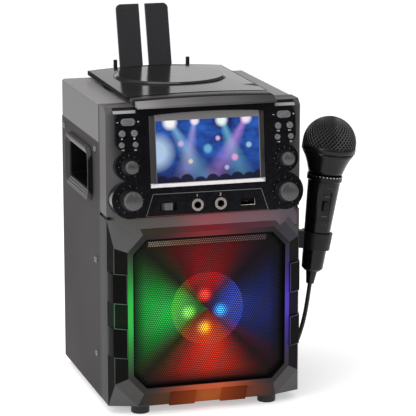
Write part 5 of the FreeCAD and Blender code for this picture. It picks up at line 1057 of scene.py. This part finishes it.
def build_prints():
    printed("dial_marks", dial_marks(), "print_dim")
    printed("control_marks", control_marks(), "print_white")
    printed("numerals", numerals(), "print_white")
    lines = [stroke(PORT_CORNERS[k], PORT_CORNERS[(k + 1) % 4], 0.5) for k in (0, 1, 3)]
    printed("port_lines", lines, "print_dim")
    printed("port_line_low", [stroke(PORT_CORNERS[2], PORT_CORNERS[3], 0.6)], "print_red")


MEDIA_HALF, MEDIA_TALL, MEDIA_RIM = 6.6, 2.9, 0.4
THROAT = [(3.18, 1.5), (2.9, 1.3), (2.9, -18.0), (3.18, -18.0)]
THROAT_FLOOR = [(2.95, -18.2), (2.95, -18.0)]


def build_small_controls():
    for side, sign in SIDES:
        u = sign * KNOB_U
        plate = prism(bar(u, ROCKER_V, 5.2, 3.0), ROCKER_TOP - 0.1, ROCKER_TOP + 0.4)
        piece("rocker_middle_" + side, plate, "switch_grey", "rocker_" + side, fascia_matrix, bevel=0.3)
    nub = FASCIA + 2.4
    ribs = [prism(bar(FUNCTION_U + u, PORT_V, 0.8, 4.8), nub - 0.1, nub + 0.5) for u in (-2.2, -0.7, 0.8, 2.3)]
    piece("function_ribs", joined(ribs), "switch_grey", "function_slider", fascia_matrix, bevel=0.15)
    fingers = [block((MEDIA_U + u - 0.5, PORT_V + 0.15, -8.0), (MEDIA_U + u + 0.5, PORT_V + 0.42, -0.3))
               for u in (-3.75, -1.25, 1.25, 3.75)]
    piece("media_contacts", joined(fingers), "gold", matrix=fascia_matrix)
    left, right = MEDIA_U - MEDIA_HALF, MEDIA_U + MEDIA_HALF
    low, high = PORT_V - MEDIA_TALL, PORT_V + MEDIA_TALL
    rim = [block((left, low, FASCIA - 0.2), (right, low + MEDIA_RIM, FASCIA + 0.1)),
           block((right - MEDIA_RIM, low, FASCIA - 0.2), (right, high, FASCIA + 0.1))]
    piece("media_rim", joined(rim), "warm_metal", matrix=fascia_matrix, bevel=0.05)
    parts = [moved(lathe(profile, 32, closed=profile is THROAT), at(u, PORT_V, 0))
             for profile in (THROAT, THROAT_FLOOR) for u in (-JACK_U, JACK_U)]
    piece("jack_throats", joined(parts), "line_black", matrix=fascia_matrix)


# Handle ridges with a painted highlight, screws with painted shade, and dark joints
SCREWS = {-1: ((76.5, 237.0), (-46.5, 237.0), (-46.5, 135.0), (-46.5, 47.0)),
          1: ((76.5, 237.0), (-46.5, 237.0), (-46.5, 108.0), (-46.5, 47.0))}
SCREW_RING = [(3.35, -0.1), (4.3, -0.1), (4.2, 0.12), (3.35, 0.12)]
SCREW_TURN = 0.5
HANDLE_SLOPE, RIDGE_START, RIDGE_END = 4.5 / 6.5, 3.0, 12.0
SIDE_SEAM_Y = -61.5


def build_side_details():
    for side, sign in SIDES:
        ridges = []
        reach = HANDLE_HALF - RIDGE_END
        for inset in (4.2, 6.1, 8.0):
            x = sign * (HANDLE_FACE - (inset - RIDGE_START) * HANDLE_SLOPE)
            low, high = sorted((x - sign * 0.7, x + sign * 0.5))
            for way in (1, -1):
                z = HANDLE_Z + way * (HANDLE_RISE - inset)
                ridges.append(block((low, HANDLE_Y - reach, z - 0.45), (high, HANDLE_Y + reach, z + 0.45)))
        # the ridges take the lighter grey as painted highlight
        piece("handle_ridges_" + side, joined(ridges), "ridge_grey", bevel=0.2)
        # painted shade: a black ring round each screw head and a black cross on it, for the gap and the cross
        # recess
        shade_rings, cross_shades = [], []
        turn = Matrix.Rotation(sign * math.pi / 2, 4, "Y")
        for y, z in SCREWS[sign]:
            place = at(sign * HALF, y, z) @ turn
            shade_rings.append(moved(lathe(SCREW_RING, 32, closed=True), place))
            for tilt in (SCREW_TURN, SCREW_TURN + math.pi / 2):
                cross = block((-1.5, -0.35, 0.9), (1.5, 0.35, 1.24))
                cross_shades.append(moved(cross, place @ Matrix.Rotation(tilt, 4, "Z")))
        piece("screw_rings_" + side, joined(shade_rings), "line_black")
        piece("screw_crosses_" + side, joined(cross_shades), "line_black")


def build_seams():
    """Dark joints between the front mouldings and the cabinet."""
    seams = []
    for sign in (-1, 1):
        low, high = sorted((sign * (HALF - 0.3), sign * (HALF + 0.08)))
        seams.append(block((low, SIDE_SEAM_Y - 1.9, BASE_Z + 0.5), (high, SIDE_SEAM_Y + 1.3, DECK_Z - 0.5)))
        wedge = [(sign * 87.0, -71.0), (sign * 65.5, -64.6), (sign * 65.5, -62.4), (sign * 87.0, -70.2)]
        seams.append(prism(wedge, DECK_Z - 0.3, DECK_Z + 0.1))
    piece("seams", joined(seams), "line_black")


# Ring line and finger notch on the lid, both black as painted shade
RING_LINE, DOME_Y, LINE_RADIUS, LINE_WIDEN = 52.2, 26.0, 0.45, 1.6
TAB_CORNERS = ((53.0, -33.0), (64.5, -44.0), (64.5, -29.0))


def lid_top(x, y):
    share = (y - LID_FRONT) / (LID_BACK - LID_FRONT)
    return LID_LOW_Z + 2.5 + 1.5 * share + (1.8 + 1.2 * share) * (1 - (x / LID_HALF) ** 2)


def build_lid_line():
    # painted shade: a black bead round the lid's dome stands for the dark line at its edge
    count, sides = 96, 6
    points, faces = [], []
    for i in range(count):
        a = 2 * math.pi * i / count
        x, y = RING_LINE * math.cos(a), DOME_Y + RING_LINE * math.sin(a)
        for k in range(sides):
            b = 2 * math.pi * k / sides
            out = LINE_WIDEN * LINE_RADIUS * math.cos(b)
            rise = LINE_RADIUS * math.sin(b)
            points.append((x + out * math.cos(a), y + out * math.sin(a), lid_top(x, y) + rise))
    for i in range(count):
        for k in range(sides):
            a, b = i * sides, ((i + 1) % count) * sides
            j = (k + 1) % sides
            faces.append((a + k, b + k, b + j, a + j))
    piece("lid_line", (points, faces), "line_black", "disc_lid", smooth=True)
    # painted shade: a black wedge fills the finger notch
    level = min(lid_top(x, y) for x, y in TAB_CORNERS) - 0.6
    points = [(x, y, level) for x, y in TAB_CORNERS] + [(x, y, lid_top(x, y) + 0.12) for x, y in TAB_CORNERS]
    faces = [(2, 1, 0), (3, 4, 5), (0, 1, 4, 3), (1, 2, 5, 4), (2, 0, 3, 5)]
    piece("lid_notch_shade", (points, faces), "line_black", "disc_lid", bevel=0.1)


# Microphone
MESH_COLUMNS, MESH_STEPS, WIRE = 40, 17, 0.9
PLATE_HALF, PLATE_LOW, PLATE_HIGH, PLATE_CUT, PLATE_RIM = 5.6, 16.5, 51.5, 2.6, 0.32
LINE_HEIGHTS = (24.6, 43.4)


def mic_piece(name, shape, paint, smooth=True):
    return piece(name, shape, paint, "mic_handle", mic_matrix, smooth)


def grip_radius(s):
    return GRIP_RADIUS + GRIP_TAPER * s


def build_mic_mesh():
    """Woven wires in diamonds, from the band over the dome."""
    columns, radius = MESH_COLUMNS, MIC_HEAD_RADIUS - 0.2
    path = [(radius, BAND_LOW + (DOME_Z - BAND_LOW) * k / 4) for k in range(5)]
    for k in range(1, MESH_STEPS):
        a = k / MESH_STEPS * math.pi / 2
        path.append((radius * math.cos(a), DOME_Z + radius * math.sin(a)))
    points, faces = [], []
    for k, (r, s) in enumerate(path):
        for i in range(columns):
            a = 2 * math.pi * (i + 0.5 * (k % 2)) / columns
            points.append((r * math.cos(a), r * math.sin(a), s))
    for k in range(len(path) - 2):
        for i in range(columns):
            side = i + (k % 2)
            faces.append((k * columns + i, (k + 1) * columns + side % columns, (k + 2) * columns + i,
                          (k + 1) * columns + (side - 1) % columns))
    head = mic_piece("mic_mesh", (points, faces), "mesh_grey", False)
    head.modifiers.new("wire", "WIREFRAME").thickness = WIRE * MM
    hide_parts("mic_grille")


def build_mic_head():
    """Cone under the head, dark foam inside it, the band and a bright neck ring."""
    cone = [(MIC_NECK_RADIUS - 1.6, MIC_NECK), (MIC_NECK_RADIUS, MIC_NECK)]
    for share in (0.2, 0.4, 0.6, 0.8, 1.0):
        belly = 1.1 * math.sin(math.pi * share) - 0.1
        cone.append((MIC_NECK_RADIUS + (MIC_HEAD_RADIUS - MIC_NECK_RADIUS) * share - belly,
                     MIC_NECK + (BAND_LOW - MIC_NECK) * share))
    cone.append((MIC_HEAD_RADIUS - 1.6, BAND_LOW))
    mic_piece("mic_cone", lathe(cone, 64, closed=True), "mic_black")
    inner = MIC_HEAD_RADIUS - 1.1
    foam = [(MIC_NECK_RADIUS - 1.1, MIC_NECK), (inner, BAND_LOW), (inner, DOME_Z)]
    for k in range(1, 12):
        a = k * math.pi / 24
        foam.append((inner * math.cos(a), DOME_Z + inner * math.sin(a)))
    mic_piece("mic_foam", lathe(foam), "paper")
    seat = MIC_HEAD_RADIUS - 0.8
    band = [(seat, BAND_LOW - 0.2), (BAND_RADIUS - 0.4, BAND_LOW), (BAND_RADIUS, BAND_LOW + 0.5),
            (BAND_RADIUS, BAND_HIGH - 0.5), (BAND_RADIUS - 0.4, BAND_HIGH), (seat, BAND_HIGH + 0.2)]
    mic_piece("mic_band", lathe(band, 64, closed=True), "knob_black")
    low, high = MIC_NECK_RADIUS + 0.4, MIC_NECK_RADIUS + 1.1
    ring = [(low, MIC_NECK - 1.4), (high, MIC_NECK - 1.3), (high, MIC_NECK - 0.4), (low, MIC_NECK - 0.3)]
    shape = lathe(ring, 120, 30, 0.3, (MIC_NECK - 1.35, MIC_NECK - 0.35), closed=True)
    mic_piece("mic_ring", shape, "steel", False)


def build_mic_switch():
    """Lines above and below the switch, and a rim round its plate."""
    lines = []
    for s in LINE_HEIGHTS:
        front = -grip_radius(s)
        lines.append(block((-2.6, front - 0.05, s - 0.25), (2.6, front + 1.2, s + 0.25)))
    mic_piece("mic_lines", joined(lines), "switch_grey", False)
    half, low, high, cut = PLATE_HALF, PLATE_LOW, PLATE_HIGH, PLATE_CUT
    outline = [(-half, low + cut), (-half + cut, low), (0, low), (half - cut, low), (half, low + cut),
               (half, high - cut), (half - cut, high), (0, high), (-half + cut, high), (-half, high - cut)]
    corners = []
    for across, s in outline:
        r = grip_radius(s)
        corners.append(Vector((r * math.sin(across / r), -r * math.cos(across / r), s)))
    rims = [tube_between(corners[k - 1], corners[k], PLATE_RIM) for k in range(len(corners))]
    mic_piece("mic_plate_rim", joined(rims), "mesh_grey")


# Coloured collars on the rear sockets
SOCKET_Z = 54.0
SOCKET_TINTS = {"red": (-18.0, (0.5, 0.02, 0.02)), "white": (0.0, 0.65), "yellow": (18.0, (0.7, 0.5, 0.04))}
COLLAR = [(4.2, 0.0), (6.2, 0.0), (6.2, 1.2), (5.7, 1.7), (4.2, 1.7)]


def build_rear():
    for name, (x, tint) in SOCKET_TINTS.items():
        darker = tuple(0.85 * c for c in colour(tint)[:3])
        moulded("socket_" + name, tint, darker, 0.4)
        place = at(x, BACK_Y, SOCKET_Z) @ Matrix.Rotation(-math.pi / 2, 4, "X")
        piece("socket_collar_" + name, lathe(COLLAR, 40, closed=True), "socket_" + name, matrix=place)


for build in (build_stage, build_cord, build_grille, build_glow, build_ring, build_knobs, build_prints,
              build_small_controls, build_side_details, build_seams, build_lid_line, build_mic_mesh,
              build_mic_head, build_mic_switch, build_rear):
    build()

# Paint and edge round of each node that keeps its shape
FINISHES = {
    ("deck_paint", 0.5): ["top_cover"],
    ("head_paint", 0.5): ["head_moulding"],
    ("bezel_paint", 0.4): ["speaker_bezel"],
    ("gloss_black", 0.45): ["fascia"],
    ("frame_paint", 0.3): ["screen_frame"],
    ("display_lit", 0): ["display_panel"],
    ("handle_paint", 0.6): ["handle_cup_left", "handle_cup_right"],
    ("panel_vinyl", 0.4): ["side_panel_left", "side_panel_right", "back_panel", "bottom_panel"],
    ("lid_paint", 0.5): ["disc_lid"],
    ("fin_black", 0.4): ["tablet_rest"],
    ("foot_rubber", 0.8): ["feet"],
    ("screw_steel", 0.2): ["panel_screws"],
    ("satin_black", 0): ["disc_well", "drive_chassis", "laser_sled", "function_switch", "light_carrier",
                         "speaker_basket", "mic_capsule"],
    ("satin_black", 0.2): ["turntable"],
    ("satin_black", 0.3): ["mic_switch"],
    ("satin_black", 0.4): ["power_rocker", "mic_clip"],
    ("steel", 0): ["spindle_motor", "hinge_pins", "potentiometers"],
    ("steel", 0.2): ["rear_sockets"],
    ("circuit", 0): ["main_board", "control_boards"],
    ("warm_metal", 0.15): ["microphone_jacks"],
    ("line_black", 0): ["media_port"],
    ("switch_grey", 0.3): ["function_slider"],
    ("bulb_lit", 0): ["light_bulbs"],
    ("paper", 0): ["speaker_cone"],
    ("board_raw", 0): ["baffle"],
    ("mic_black", 0.4): ["mic_handle"],
    ("button_grey", 0): [name for name in nodes if name.startswith("button_")],
    ("button_grey", 0.5): [name for name in nodes if name.startswith("rocker_")],
}
for (paint, bevel), names in FINISHES.items():
    for name in names:
        dress(name, paint, bevel)
